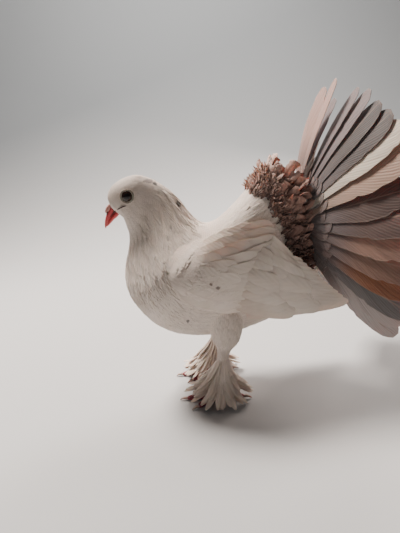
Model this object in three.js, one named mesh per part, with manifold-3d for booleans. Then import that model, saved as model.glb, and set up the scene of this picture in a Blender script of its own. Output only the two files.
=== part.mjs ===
// A standing fantail pigeon, life size, in millimetres.
// +Z is up, the bird looks along -Y and its left side is +X.
// The origin is under the middle of its outline, on the floor.
import * as THREE from 'three';
import { mergeVertices } from 'three/addons/utils/BufferGeometryUtils.js';
import Module from 'manifold-3d';

const wasm = await Module();
wasm.setup();

// Driving sizes
const GAP = 0.3;
const EYE_RADIUS = 5.2;
const EYE_PLACE = [-53.3, 179.4];
const EYE_SUNK = 2.7;
const LID_TUBE = 0.9;
const RING_SIDES = 24;
const VANE_THICKNESS = 0.7;
const FAN_PIVOT = [0, 82, 142];
const FAN_SWEEP = { top: 18, more: 7, crest: 10, crestWidth: 9 };
const FAN_TILT = 9;
const WING_TILT = 0.09;
const FOOT_SPREAD = 23;
const TOE_RADIUS = 3.1;
const SEED = 7;

// Stations of the body from the bill to the tail: the back line, the front line and half the width.
const BODY = [
  { name: 'bill root', back: [-70.3, 172.6], front: [-65.5, 161.5], half: 5.5 },
  { name: 'lore', back: [-71.6, 180.5], front: [-61.8, 158.8], half: 10.0 },
  { name: 'brow', back: [-67.5, 188.3], front: [-59.0, 156.0], half: 12.8 },
  { name: 'eye', back: [-58.5, 194.0], front: [-57.6, 152.0], half: 14.2 },
  { name: 'crown', back: [-46.5, 196.2], front: [-57.2, 147.0], half: 15.0 },
  { name: 'hind head', back: [-34.0, 192.4], front: [-58.0, 141.0], half: 15.8 },
  { name: 'upper nape', back: [-23.5, 185.0], front: [-59.8, 134.0], half: 17.5 },
  { name: 'nape', back: [-14.5, 175.5], front: [-62.3, 126.0], half: 21.0 },
  { name: 'lower neck', back: [-7.5, 165.5], front: [-64.3, 116.5], half: 27.0 },
  { name: 'neck base', back: [-2.0, 158.0], front: [-64.6, 106.0], half: 33.5 },
  { name: 'shoulder', back: [3.5, 153.4], front: [-62.0, 94.5], half: 39.5 },
  { name: 'breast', back: [10.0, 152.2], front: [-55.5, 81.5], half: 43.0 },
  { name: 'keel', back: [17.0, 154.0], front: [-44.0, 68.0], half: 44.5 },
  { name: 'belly', back: [24.0, 158.5], front: [-27.0, 57.5], half: 43.5 },
  { name: 'hip', back: [31.0, 164.5], front: [-4.0, 52.5], half: 40.5 },
  { name: 'loin', back: [38.0, 171.2], front: [24.0, 53.0], half: 36.5 },
  { name: 'rump', back: [45.0, 178.0], front: [51.0, 59.5], half: 31.5 },
  { name: 'vent', back: [51.5, 183.6], front: [76.0, 71.0], half: 27.0 },
  { name: 'tail root', back: [57.0, 187.5], front: [96.0, 86.0], half: 22.5 },
];
const HEAD_END = 5.4;
const NECK_END = 9.4;
const TORSO_END = BODY.length - 1;

// The core that the tail feathers grow from, closing the body behind the tail root.
const TAIL_CORE = [
  { back: [57.0, 187.5], front: [96.0, 86.0], half: 22.5 },
  { back: [66.0, 189.0], front: [97.5, 100.0], half: 20.0 },
  { back: [76.0, 185.0], front: [99.5, 115.0], half: 16.5 },
  { back: [85.0, 176.0], front: [100.5, 130.0], half: 12.0 },
  { back: [92.0, 164.0], front: [100.0, 143.0], half: 6.0 },
];

// The outline of a feather's blade, as shares of its length and of its full width.
const LONG_BLADE = [[0, 0.09], [0.16, 0.14], [0.48, 0.68], [0.82, 1], [1, 0.4]];
const WING_BLADE = [[0, 0.5], [0.4, 0.92], [0.78, 0.96], [1, 0.32]];
const COVERT_BLADE = [[0, 0.25], [0.45, 0.85], [0.8, 1], [1, 0.4]];

// The long feathers of the fan and the two tiers of coverts over their quills.
const TAIL_TIERS = [
  { count: 30, spread: 140, start: 16, length: 116, width: 28, ahead: 0, curl: 5, blade: LONG_BLADE },
  { count: 13, spread: 96, start: 19, length: 60, width: 19, ahead: 4.5, curl: -3, blade: COVERT_BLADE },
  { count: 9, spread: 72, start: 18, length: 44, width: 18, ahead: 9.5, curl: -5, blade: COVERT_BLADE },
];

const UPPER_BILL = [
  { back: [-70.1, 172.0], front: [-67.7, 166.4], half: 4.2 },
  { back: [-73.6, 167.4], front: [-70.6, 162.4], half: 3.5 },
  { back: [-76.2, 161.4], front: [-73.4, 158.6], half: 2.4 },
  { back: [-77.2, 156.6], front: [-75.6, 155.6], half: 1.3 },
  { back: [-76.9, 154.1], front: [-76.4, 154.0], half: 0.5 },
];
const LOWER_BILL = [
  { back: [-67.5, 165.9], front: [-65.9, 162.3], half: 3.8 },
  { back: [-70.2, 162.2], front: [-68.6, 159.6], half: 3.0 },
  { back: [-73.0, 158.5], front: [-71.6, 156.9], half: 2.0 },
  { back: [-75.1, 155.5], front: [-74.3, 154.9], half: 0.9 },
];

let seedState = SEED;
// A seeded draw between -1 and 1.
function jitter() {
  seedState = (seedState * 1664525 + 1013904223) % 4294967296;
  return (seedState / 4294967296) * 2 - 1;
}

const feather = (color) => new THREE.MeshStandardMaterial({ color, roughness: 0.85, metalness: 0 });
const MATERIALS = {
  white: feather(0xe8e2d8),
  tail: feather(0x7a5f55),
  bill: new THREE.MeshStandardMaterial({ color: 0xc0504d, roughness: 0.45, metalness: 0 }),
  eye: new THREE.MeshStandardMaterial({ color: 0x0d0a09, roughness: 0.1, metalness: 0 }),
  toe: new THREE.MeshStandardMaterial({ color: 0xa84a4c, roughness: 0.6, metalness: 0 }),
  claw: new THREE.MeshStandardMaterial({ color: 0xc9b3a6, roughness: 0.5, metalness: 0 }),
};

// A value at place t of a list of stations, by a smooth curve through them.
function along(list, t, pick) {
  const last = list.length - 1;
  const i = Math.min(last - 1, Math.max(0, Math.floor(t)));
  const u = t - i;
  const p = [i - 1, i, i + 1, i + 2].map((k) => pick(list[Math.min(last, Math.max(0, k))]));
  const slope0 = (p[2] - p[0]) / 2;
  const slope1 = (p[3] - p[1]) / 2;
  const rise = p[2] - p[1];
  return p[1] + u * (slope0 + u * (3 * rise - 2 * slope0 - slope1 + u * (slope0 + slope1 - 2 * rise)));
}

// The cross-section of a list of stations at place t.
function section(list, t) {
  const at = (key, axis) => along(list, t, (s) => s[key][axis]);
  const back = new THREE.Vector3(0, at('back', 0), at('back', 1));
  const front = new THREE.Vector3(0, at('front', 0), at('front', 1));
  const up = back.clone().sub(front);
  const height = up.length() / 2;
  return {
    centre: back.clone().add(front).multiplyScalar(0.5),
    up: up.normalize(),
    height,
    half: along(list, t, (s) => s.half),
  };
}

// A point of the skin at place t and angle a from the back line, raised by lift.
function skin(list, t, a, lift = 0) {
  const s = section(list, t);
  return s.centre.clone()
    .addScaledVector(s.up, (s.height + lift) * Math.cos(a))
    .add(new THREE.Vector3((s.half + lift) * Math.sin(a), 0, 0));
}

// Half the body's width at a point of its side view.
function halfWidthAt(y, z) {
  const off = (t) => {
    const s = section(BODY, t);
    return (y - s.centre.y) * s.up.z - (z - s.centre.z) * s.up.y;
  };
  let low = 0;
  let high = TORSO_END;
  const sign = Math.sign(off(low));
  for (let i = 0; i < 40; i++) {
    const mid = (low + high) / 2;
    if (Math.sign(off(mid)) === sign) low = mid;
    else high = mid;
  }
  const s = section(BODY, low);
  const rise = ((y - s.centre.y) * s.up.y + (z - s.centre.z) * s.up.z) / s.height;
  return s.half * Math.sqrt(Math.max(0, 1 - rise * rise));
}

// A closed solid through a list of rings of points, the same number in each.
function loft(rings) {
  const sides = rings[0].length;
  const points = rings.flat().concat([rings[0], rings[rings.length - 1]].map((ring) =>
    ring.reduce((sum, p) => sum.add(p), new THREE.Vector3()).multiplyScalar(1 / sides)));
  const first = rings.length * sides;
  const index = [];
  for (let r = 0; r < rings.length - 1; r++) {
    for (let j = 0; j < sides; j++) {
      const a = r * sides + j;
      const b = r * sides + (j + 1) % sides;
      index.push(a, b, b + sides, a, b + sides, a + sides);
    }
  }
  for (let j = 0; j < sides; j++) {
    const k = (j + 1) % sides;
    index.push(first, k, j, first + 1, first - sides + j, first - sides + k);
  }
  const made = new THREE.BufferGeometry().setFromPoints(points);
  made.setIndex(index);
  return made;
}

// The geometry as a solid, turned outside out where its rings ran the other way round.
function solid(geometry) {
  const g = geometry.clone();
  g.deleteAttribute('normal');
  g.deleteAttribute('uv');
  const merged = mergeVertices(g, 1e-4);
  const vertProperties = new Float32Array(merged.attributes.position.array);
  const triVerts = new Uint32Array(merged.index.array);
  const made = new wasm.Manifold(new wasm.Mesh({ numProp: 3, vertProperties, triVerts }));
  if (made.volume() > 0) return made;
  for (let i = 0; i < triVerts.length; i += 3) {
    [triVerts[i + 1], triVerts[i + 2]] = [triVerts[i + 2], triVerts[i + 1]];
  }
  return new wasm.Manifold(new wasm.Mesh({ numProp: 3, vertProperties, triVerts }));
}

// One solid from many.
function fuse(solids) {
  return solids.reduce((sum, s) => sum.add(s));
}

// The largest closed surface of a solid, with anything loose or sealed inside dropped.
function largest(made) {
  return made.decompose().sort((a, b) => b.volume() - a.volume())[0];
}

// A named mesh of a solid.
function node(name, made, material) {
  const { numProp, vertProperties, triVerts } = largest(made).getMesh();
  const position = new Float32Array(vertProperties.length / numProp * 3);
  for (let i = 0; i < position.length / 3; i++) {
    position.set(vertProperties.subarray(i * numProp, i * numProp + 3), i * 3);
  }
  const g = new THREE.BufferGeometry();
  g.setAttribute('position', new THREE.BufferAttribute(position, 3));
  g.setIndex(new THREE.BufferAttribute(new Uint32Array(triVerts), 1));
  const mesh = new THREE.Mesh(g, material);
  mesh.name = name;
  return mesh;
}

// A ring of the body, or of any list of stations, raised by lift.
function ringOf(list, t, lift = 0, sides = RING_SIDES) {
  return Array.from({ length: sides }, (_, j) => skin(list, t, (j / sides) * 2 * Math.PI, lift));
}

// A length of a list of stations from t0 to t1, its first ring set on by the gap.
function stretch(list, t0, t1, steps, { lift = 0, shift = GAP, sides = RING_SIDES } = {}) {
  const rings = Array.from({ length: steps + 1 }, (_, i) =>
    ringOf(list, t0 + (t1 - t0) * i / steps, lift, sides));
  const here = section(list, t0).centre;
  const next = section(list, t0 + 0.05).centre;
  const up = section(list, t0).up;
  const normal = new THREE.Vector3(1, 0, 0).cross(up).normalize();
  if (normal.dot(next.sub(here)) < 0) normal.negate();
  rings[0].forEach((p) => p.addScaledVector(normal, shift));
  return solid(loft(rings));
}

// A round tube through points, each with its own radius.
function limb(points, radii, sides = 10, fine = 3) {
  const curve = new THREE.CatmullRomCurve3(points.map((p) => new THREE.Vector3(...p)));
  const steps = (points.length - 1) * fine;
  const rings = Array.from({ length: steps + 1 }, (_, i) => {
    const u = i / steps;
    const centre = curve.getPoint(u);
    const ahead = curve.getTangent(u);
    const side = new THREE.Vector3(1, 0, 0);
    if (Math.abs(ahead.x) > 0.9) side.set(0, 0, 1);
    side.addScaledVector(ahead, -side.dot(ahead)).normalize();
    const other = ahead.clone().cross(side);
    const r = along(radii, u * (radii.length - 1), (x) => x);
    return Array.from({ length: sides }, (_, j) => {
      const a = (j / sides) * 2 * Math.PI;
      return centre.clone().addScaledVector(side, r * Math.cos(a)).addScaledVector(other, r * Math.sin(a));
    });
  });
  return solid(loft(rings));
}

// One feather: a thin blade along a curve.
// Its two faces are split by the same diagonals, so that a bent blade never crosses itself.
function vane({ points, face, width, blade, thickness = VANE_THICKNESS }) {
  const curve = new THREE.CatmullRomCurve3(points);
  const spots = blade.flatMap(([u, share]) => {
    const centre = curve.getPoint(u);
    const ahead = curve.getTangent(u);
    const out = face.clone().addScaledVector(ahead, -face.dot(ahead)).normalize();
    const across = ahead.clone().cross(out).multiplyScalar(width / 2 * share);
    out.multiplyScalar(thickness / 2);
    return [[-1, 1], [1, 1], [1, -1], [-1, -1]].map(([side, rise]) =>
      centre.clone().addScaledVector(across, side).addScaledVector(out, rise));
  });
  const index = [];
  const end = spots.length - 4;
  for (let o = 0; o < end; o += 4) {
    index.push(o, o + 1, o + 5, o, o + 5, o + 4);
    index.push(o + 1, o + 2, o + 6, o + 1, o + 6, o + 5);
    index.push(o + 3, o + 6, o + 2, o + 3, o + 7, o + 6);
    index.push(o + 3, o, o + 4, o + 3, o + 4, o + 7);
  }
  index.push(0, 3, 2, 0, 2, 1, end, end + 2, end + 3, end, end + 1, end + 2);
  return solid(new THREE.BufferGeometry().setFromPoints(spots).setIndex(index));
}

const radians = THREE.MathUtils.degToRad;
const vec = (x, y, z) => new THREE.Vector3(x, y, z);

// The direction of a fan feather at an angle from straight up, the crest feathers swept back least.
function fanDirection(degrees, more = 0) {
  const a = radians(degrees);
  const crest = FAN_SWEEP.crest * Math.exp(-((degrees / FAN_SWEEP.crestWidth) ** 2));
  const b = radians(FAN_SWEEP.top + FAN_SWEEP.more * (1 - Math.cos(a)) / 2 - crest + more);
  return vec(Math.sin(a) * Math.cos(b), Math.sin(b), Math.cos(a) * Math.cos(b));
}

// A feather of the fan, or a covert lying ahead of it, from start to length out of the fan's middle.
function fanVane({ degrees, start, length, width, ahead, curl, blade }) {
  const early = fanDirection(degrees, -curl);
  const late = fanDirection(degrees, curl);
  const points = [0, 0.5, 1].map((u) => vec(...FAN_PIVOT).add(vec(0, -ahead, 0))
    .addScaledVector(early.clone().lerp(late, u), start + (length - start) * u));
  const across = vec(Math.cos(radians(degrees)), 0, -Math.sin(radians(degrees)));
  const front = across.clone().cross(fanDirection(degrees)).normalize();
  if (front.y > 0) front.negate();
  const tilt = radians(FAN_TILT) * THREE.MathUtils.clamp(degrees / 8, -1, 1);
  const face = front.multiplyScalar(Math.cos(tilt)).addScaledVector(across, -Math.sin(tilt));
  return vane({ points, face, width, blade });
}

// A tier of feathers spread evenly over the fan, each a little longer or shorter than the next.
function fanTier({ count, spread, length, width, ...rest }) {
  return Array.from({ length: count }, (_, i) => fanVane({
    degrees: (i / (count - 1) * 2 - 1) * spread + 0.8 * jitter(),
    length: length + 3 * jitter(),
    width: width + 0.8 * jitter(),
    ...rest,
  }));
}

function tail() {
  const core = stretch(TAIL_CORE, 0, TAIL_CORE.length - 1, 7);
  const made = fuse([core, ...TAIL_TIERS.flatMap(fanTier)]);
  return node('tail', made.subtract(bodyClearance()).subtract(wingsGrown()), MATERIALS.tail);
}

function neckAndTorso(settings) {
  return [stretch(BODY, HEAD_END, NECK_END, 8, settings), stretch(BODY, NECK_END, TORSO_END, 17, settings)];
}

// The body grown by the gap, to cut what lies on it.
function bodyClearance() {
  return neckAndTorso({ lift: GAP + 0.05, shift: 0 }).reduce((sum, made) => sum.add(made));
}

function mirrored(made) {
  return made.mirror([1, 0, 0]);
}

function head() {
  const [y, z] = EYE_PLACE;
  const x = halfWidthAt(y, z) - EYE_SUNK;
  const ball = solid(new THREE.SphereGeometry(EYE_RADIUS, 12, 9)).translate([x, y, z]);
  const socket = solid(new THREE.SphereGeometry(EYE_RADIUS + GAP, 12, 9)).translate([x, y, z]);
  const lid = solid(new THREE.TorusGeometry(EYE_RADIUS - 0.2, LID_TUBE, 5, 14).rotateY(Math.PI / 2))
    .translate([x + EYE_SUNK - 0.4, y, z]);
  const skull = stretch(BODY, 0, HEAD_END, 10, { shift: 0 });
  const made = fuse([skull, lid, mirrored(lid)]).subtract(socket).subtract(mirrored(socket));
  return [
    node('head', made, MATERIALS.white),
    node('eye_left', ball, MATERIALS.eye),
    node('eye_right', mirrored(ball), MATERIALS.eye),
  ];
}

function bill() {
  const upperBill = (settings) =>
    stretch(UPPER_BILL, 0, UPPER_BILL.length - 1, 8, { sides: 12, ...settings });
  const upper = upperBill({});
  const upperGrown = upperBill({ lift: GAP, shift: -GAP });
  const cere = solid(new THREE.SphereGeometry(1, 8, 6).scale(1.7, 2.6, 1.6).rotateX(0.9))
    .translate([2.1, -71.9, 169.6]);
  const faceClearance = stretch(BODY, 0, 2, 6, { lift: GAP, shift: -GAP });
  const lower = stretch(LOWER_BILL, 0, LOWER_BILL.length - 1, 6, { sides: 10 });
  const nostril = solid(new THREE.SphereGeometry(1, 8, 6).scale(0.5, 1.3, 0.4).rotateX(0.9))
    .translate([2.9, -73.2, 168.6]);
  return [
    node('bill_upper', fuse([upper, cere, mirrored(cere)]).subtract(nostril).subtract(mirrored(nostril))
      .subtract(faceClearance), MATERIALS.bill),
    node('bill_lower', lower.subtract(upperGrown).subtract(faceClearance), MATERIALS.bill),
  ];
}

// The edges of the folded wing on the body, as angles from the back line, and its thickness.
const WING = [
  { t: 9.9, upper: 60, lower: 78, thick: 1.5 },
  { t: 10.7, upper: 45, lower: 90, thick: 4.5 },
  { t: 11.8, upper: 40, lower: 100, thick: 7.0 },
  { t: 13.2, upper: 42, lower: 110, thick: 8.5 },
  { t: 14.8, upper: 50, lower: 122, thick: 8.5 },
  { t: 16.2, upper: 58, lower: 125, thick: 7.0 },
  { t: 17.3, upper: 70, lower: 122, thick: 4.5 },
];

// The shoulder and covert mass of a folded wing, lying on the body's side.
function wingMass(more = 0) {
  const across = 7;
  const steps = 8;
  const rings = Array.from({ length: steps + 1 }, (_, i) => {
    const k = i / steps * (WING.length - 1);
    const at = (key) => along(WING, k, (s) => s[key]);
    const outer = Array.from({ length: across + 1 }, (_, j) => {
      const a = radians(at('upper') + (at('lower') - at('upper')) * j / across);
      const bulge = Math.sin(Math.PI * j / across) ** 0.6;
      return skin(BODY, at('t'), a, 0.4 + more + at('thick') * bulge);
    });
    const inner = Array.from({ length: across + 1 }, (_, j) => {
      const a = radians(at('lower') + (at('upper') - at('lower')) * j / across);
      return skin(BODY, at('t'), a, -3);
    });
    return [...outer, ...inner];
  });
  return solid(loft(rings));
}

// How far the covert mass stands off the skin at place t and angle a.
function wingRise(t, a) {
  const k = THREE.MathUtils.clamp(WING.findIndex((s) => s.t > t) - 1, 0, WING.length - 2);
  const stop = t > WING[WING.length - 1].t ? WING.length - 1
    : k + THREE.MathUtils.clamp((t - WING[k].t) / (WING[k + 1].t - WING[k].t), 0, 1);
  const at = (key) => along(WING, stop, (s) => s[key]);
  const share = THREE.MathUtils.clamp((a - at('upper')) / (at('lower') - at('upper')), 0, 1);
  return 0.4 + at('thick') * Math.sin(Math.PI * share) ** 0.6;
}

// The tiers of a folded wing: where the feathers leave the mass and where they end, as [place, angle],
// and how far their tips stand off it. Their roots lie sunk in it.
const WING_ROOT_SUNK = -1.7;
const WING_TIERS = [
  { count: 4, roots: [[11.9, 56], [12.1, 92]], tips: [[13.9, 58], [14.1, 100]], width: 21, raised: 1.3 },
  { count: 5, roots: [[13.3, 54], [13.5, 100]], tips: [[15.5, 62], [15.8, 110]], width: 19, raised: 1.5 },
  { count: 5, roots: [[14.8, 62], [14.9, 108]], tips: [[16.9, 72], [17.6, 114]], width: 19, raised: 1.8 },
];
const PRIMARIES = {
  count: 6,
  roots: [[34, 46, 122], [37, 40, 86]],
  tips: [[36, 80, 116], [44, 113, 83]],
  width: 15,
};

function wingTier({ count, roots, tips, width, raised }) {
  return Array.from({ length: count }, (_, i) => {
    const k = i / (count - 1);
    const mix = (ends, n) => ends[0][n] + (ends[1][n] - ends[0][n]) * k;
    const t1 = mix(tips, 0) + 0.08 * jitter();
    const points = [0, 0.5, 1].map((u) => {
      const t = Math.min(mix(roots, 0) + (t1 - mix(roots, 0)) * u, TORSO_END);
      const a = mix(roots, 1) + (mix(tips, 1) - mix(roots, 1)) * u;
      const lift = WING_ROOT_SUNK + (raised - WING_ROOT_SUNK) * Math.sqrt(u);
      return skin(BODY, t, radians(a), wingRise(t, a) + lift);
    });
    const ahead = points[2].clone().sub(points[0]).normalize();
    const out = points[1].clone().sub(section(BODY, t1).centre).setY(0).normalize();
    const face = out.addScaledVector(ahead.cross(out), WING_TILT);
    return vane({ points, face, width, blade: WING_BLADE });
  });
}

function primaries() {
  const { count, roots, tips, width } = PRIMARIES;
  return Array.from({ length: count }, (_, i) => {
    const k = i / (count - 1);
    const root = vec(...roots[0]).lerp(vec(...roots[1]), k);
    const tip = vec(...tips[0]).lerp(vec(...tips[1]), k);
    const middle = root.clone().lerp(tip, 0.5).add(vec(2.5, 0, 1));
    const face = vec(1, 0, WING_TILT);
    return vane({ points: [root, middle, tip], face, width: width - 4 * k, blade: WING_BLADE });
  });
}

// The room that both wings take, grown by the gap, to cut the tail's feathers clear of them.
function wingsGrown() {
  const left = fuse([wingMass(GAP), wingMass().translate([0, GAP, 0])]);
  return left.add(mirrored(left));
}

function wings() {
  const made = fuse([wingMass(), ...WING_TIERS.flatMap(wingTier), ...primaries()]);
  return [
    node('wing_left', made.subtract(bodyClearance()), MATERIALS.white),
    node('wing_right', mirrored(made).subtract(bodyClearance()), MATERIALS.white),
  ];
}

// The feathered leg from the body down to the foot, at x = side * FOOT_SPREAD.
const LEG_LINE = [[19, 18, 74], [21, 17, 57], [22, 14, 44], [FOOT_SPREAD, 11, 27], [FOOT_SPREAD, 9, 7.4]];
const LEG_RADII = [19, 14, 7, 6, 6];
const FOOT_SHIFT_DROP = 54;
const RIGHT_FOOT_SHIFT = -5;

// The feathers of the foot: their direction from straight ahead, their length and how low they end.
const MUFF = [
  { degrees: -34, reach: 21, low: 8.4 },
  { degrees: -6, reach: 24, low: 8.4 },
  { degrees: 20, reach: 25, low: 8.0 },
  { degrees: 45, reach: 26, low: 6.5 },
  { degrees: 67, reach: 26, low: 3.0 },
  { degrees: 89, reach: 26, low: 1.4 },
  { degrees: 111, reach: 26, low: 1.4 },
  { degrees: 133, reach: 24, low: 2.4 },
  { degrees: 155, reach: 22, low: 7.6 },
];

// The feathers of the foot, spread from the shank over the toes and out over the floor.
function muffVanes(ankleY) {
  return MUFF.map(({ degrees, reach, low }) => {
    const a = radians(degrees);
    const out = vec(Math.sin(a), -Math.cos(a), 0);
    const root = vec(FOOT_SPREAD, ankleY + 3, 35).addScaledVector(out, 2);
    const tip = vec(FOOT_SPREAD, ankleY, low).addScaledVector(out, reach);
    const middle = root.clone().lerp(tip, 0.55).addScaledVector(out, 0.8);
    const face = vec(out.x * 0.85, out.y * 0.85, 0.55);
    return vane({ points: [root, middle, tip], face, width: 12, blade: COVERT_BLADE });
  });
}

const TOES = [
  { name: 'inner', degrees: -34, reach: 24 },
  { name: 'middle', degrees: -2, reach: 30 },
  { name: 'outer', degrees: 32, reach: 24 },
  { name: 'hind', degrees: 170, reach: 20 },
];
const CLAW_RADII = [1.6, 1.2, 0.35];
const FLOOR_CUT = solid(new THREE.BoxGeometry(400, 400, 50)).translate([0, 0, -25]);

// A toe or a claw along its own direction over the floor, from the ankle at y.
function toePart(degrees, ankleY, stops, radii, sides) {
  const a = radians(degrees);
  const line = stops.map(([r, z]) => [FOOT_SPREAD + Math.sin(a) * r, ankleY - Math.cos(a) * r, z]);
  return limb(line, radii, sides, 2);
}

// The bare foot, grown on all sides by more where it is used to cut the feathers clear of it.
function footSolid(ankleY, more = 0) {
  const hub = solid(new THREE.CylinderGeometry(5 + more, 6 + more, 6.2 + 2 * more, 12).rotateX(Math.PI / 2))
    .translate([FOOT_SPREAD, ankleY, 3.6]);
  const toes = TOES.map(({ degrees, reach }) =>
    toePart(degrees, ankleY, [[0, 2.7], [reach * 0.5, 2.4], [reach + more, 1.6]],
      [TOE_RADIUS + more, TOE_RADIUS * 0.9 + more, 2 + more], 8));
  return fuse([hub, ...toes]);
}

// One leg with its foot and claws.
// side is 1 on the left and -1 on the right, and shift moves the foot along Y.
function leg(side, shift) {
  const label = side > 0 ? 'left' : 'right';
  const turn = (made) => (side > 0 ? made : mirrored(made));
  const line = LEG_LINE.map(([x, y, z]) =>
    [x, y + shift * THREE.MathUtils.clamp((LEG_LINE[0][2] - z) / FOOT_SHIFT_DROP, 0, 1), z]);
  const ankleY = line[line.length - 1][1];
  const clawStops = (reach) => [[reach + GAP, 1.8], [reach + 3.5, 1.7], [reach + 6.5, 0.6]];
  const claws = TOES.map(({ name, degrees, reach }) => ({
    name: `claw_${name}_${label}`,
    made: toePart(degrees, ankleY, clawStops(reach), CLAW_RADII, 6).subtract(FLOOR_CUT),
    cut: toePart(degrees, ankleY, clawStops(reach), CLAW_RADII.map((r) => r + GAP), 6),
  }));
  const feathers = fuse([limb(line, LEG_RADII, 12), ...muffVanes(ankleY)])
    .subtract(fuse([wingMass(GAP), footSolid(ankleY, GAP), FLOOR_CUT, ...claws.map((c) => c.cut)]));
  return [
    node(`leg_${label}`, turn(feathers).subtract(bodyClearance()), MATERIALS.white),
    node(`foot_${label}`, turn(footSolid(ankleY).subtract(FLOOR_CUT)), MATERIALS.toe),
    ...claws.map(({ name, made }) => node(name, turn(made), MATERIALS.claw)),
  ];
}

const pigeon = new THREE.Group();
pigeon.add(
  ...head(),
  ...bill(),
  ...neckAndTorso({}).map((made, i) => node(['neck', 'torso'][i], made, MATERIALS.white)),
  ...wings(),
  tail(),
  ...leg(1, 0),
  ...leg(-1, RIGHT_FOOT_SHIFT),
);

// The origin goes under the middle of the bird's outline.
const outline = new THREE.Box3().setFromObject(pigeon);
const middle = outline.getCenter(new THREE.Vector3());
pigeon.position.set(-middle.x, -middle.y, -outline.min.z);

const part = new THREE.Group();
part.add(pigeon);
export default part;
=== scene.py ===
"""The looks of a life-size standing fantail pigeon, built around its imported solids."""
import logging
import math
from dataclasses import dataclass, field
from enum import Enum
from typing import Any, Sequence

import bmesh
import bpy
import numpy as np
from mathutils import Matrix, Vector


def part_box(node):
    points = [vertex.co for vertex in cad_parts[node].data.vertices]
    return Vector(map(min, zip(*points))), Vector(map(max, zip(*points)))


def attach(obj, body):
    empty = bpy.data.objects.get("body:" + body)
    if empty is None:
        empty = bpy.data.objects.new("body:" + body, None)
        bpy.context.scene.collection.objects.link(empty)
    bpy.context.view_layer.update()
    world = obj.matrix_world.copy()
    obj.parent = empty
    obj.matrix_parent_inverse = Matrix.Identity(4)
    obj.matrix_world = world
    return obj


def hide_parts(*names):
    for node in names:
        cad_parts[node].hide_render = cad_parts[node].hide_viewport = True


log = logging.getLogger("pigeon")
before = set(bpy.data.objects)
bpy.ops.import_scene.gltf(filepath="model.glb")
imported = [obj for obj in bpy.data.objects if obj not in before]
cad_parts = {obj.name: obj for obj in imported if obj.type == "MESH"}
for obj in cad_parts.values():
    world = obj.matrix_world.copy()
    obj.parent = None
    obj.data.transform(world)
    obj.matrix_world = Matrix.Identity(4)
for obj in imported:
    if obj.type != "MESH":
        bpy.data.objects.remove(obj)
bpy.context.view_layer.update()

MM = 0.001
EYE_PLACE = (-53.3, 179.4)
EYE_RADIUS = 5.2
EYE_SUNK = 2.7
TORSO_END = 18.0
CORE_END = 22.0
COAT_DEPTH = 0.9
FOOT_SPREAD = 23.0
ANKLE = {"left": 9.0, "right": 4.0}
HIP = 74
LEG_LENGTH = 54
SIDES = ("left", "right")
PATCH = 0.003
SCUTES = 11
ROUND_END = 0.07
ROOT_DEPTH = 0.95
Floats = np.ndarray


def bird_origin() -> Floats:
    """Finds the bird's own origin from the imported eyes.

    Returns:
        The shift in millimetres from the bird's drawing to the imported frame.
    """
    left = (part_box("eye_left")[0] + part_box("eye_left")[1]) / 2 / MM
    right = (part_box("eye_right")[0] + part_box("eye_right")[1]) / 2 / MM
    middle = (left + right) / 2
    return np.array([middle.x, middle.y - EYE_PLACE[0], middle.z - EYE_PLACE[1]])


ORIGIN = bird_origin()


def unit(v: Floats) -> Floats:
    """Scales each row of an array to length one."""
    return v / np.maximum(np.linalg.norm(v, axis=-1, keepdims=True), 1e-9)


def spline(stops: Floats, t: Floats) -> Floats:
    """Reads a smooth curve through evenly numbered stops.

    Args:
        stops: one row of values for each stop.
        t: places along the stops, from 0 to the last one's number.

    Returns:
        One row of values for each place.
    """
    last = len(stops) - 1
    i = np.clip(np.floor(t).astype(int), 0, last - 1)
    u = (t - i)[:, None]
    before = stops[np.maximum(i - 1, 0)]
    here = stops[i]
    ahead = stops[i + 1]
    beyond = stops[np.minimum(i + 2, last)]
    slope0 = (ahead - before) / 2
    slope1 = (beyond - here) / 2
    rise = ahead - here
    return here + u * (slope0 + u * (3 * rise - 2 * slope0 - slope1 + u * (slope0 + slope1 - 2 * rise)))


@dataclass(frozen=True)
class Loft:
    """A smooth body through stations: back y and z, front y and z, half width, in millimetres."""

    stations: Sequence[Sequence[float]]

    def points(self, t: Floats, a: Floats, lift: Floats | float = 0.0) -> Floats:
        """Gives points of the surface.

        Args:
            t: places along the stations.
            a: angles from the back line, in radians.
            lift: distances outside the surface.

        Returns:
            One point for each place.
        """
        v = spline(np.array(self.stations, float), np.asarray(t, float))
        up = v[:, 0:2] - v[:, 2:4]
        tall = np.linalg.norm(up, axis=1) / 2
        up = up / (2 * tall[:, None])
        middle = (v[:, 0:2] + v[:, 2:4]) / 2
        side = middle + up * ((tall + lift) * np.cos(a))[:, None]
        return np.column_stack([(v[:, 4] + lift) * np.sin(a), side])

    def frames(self, t: Floats, a: Floats, lift: Floats | float = 0.0) -> tuple[Floats, Floats, Floats]:
        """Gives points of the surface with the lie towards the tail and the outward normal.

        Args:
            t: places along the stations.
            a: angles from the back line, in radians.
            lift: distances outside the surface.

        Returns:
            Points, lie directions and normals.
        """
        here = self.points(t, a, lift)
        lie = unit(self.points(t + 0.02, a, lift) - self.points(t - 0.02, a, lift))
        around = unit(self.points(t, a + 0.01, lift) - self.points(t, a - 0.01, lift))
        normal = unit(np.cross(around, lie))
        middle = self.points(t, a, 0.0) - self.points(t, a + math.pi, 0.0)
        flip = np.sign(np.sum(normal * middle, axis=1, keepdims=True))
        return here, lie, normal * np.where(flip == 0, 1, flip)

    def half_at(self, y: float, z: float) -> float:
        """Finds half the body's width at a point of its side view."""
        t = np.repeat(np.linspace(0, TORSO_END, 400), 91)
        a = np.tile(np.linspace(0, math.pi, 91), 400)
        p = self.points(t, a)
        return float(p[np.argmin((p[:, 1] - y) ** 2 + (p[:, 2] - z) ** 2), 0])


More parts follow.
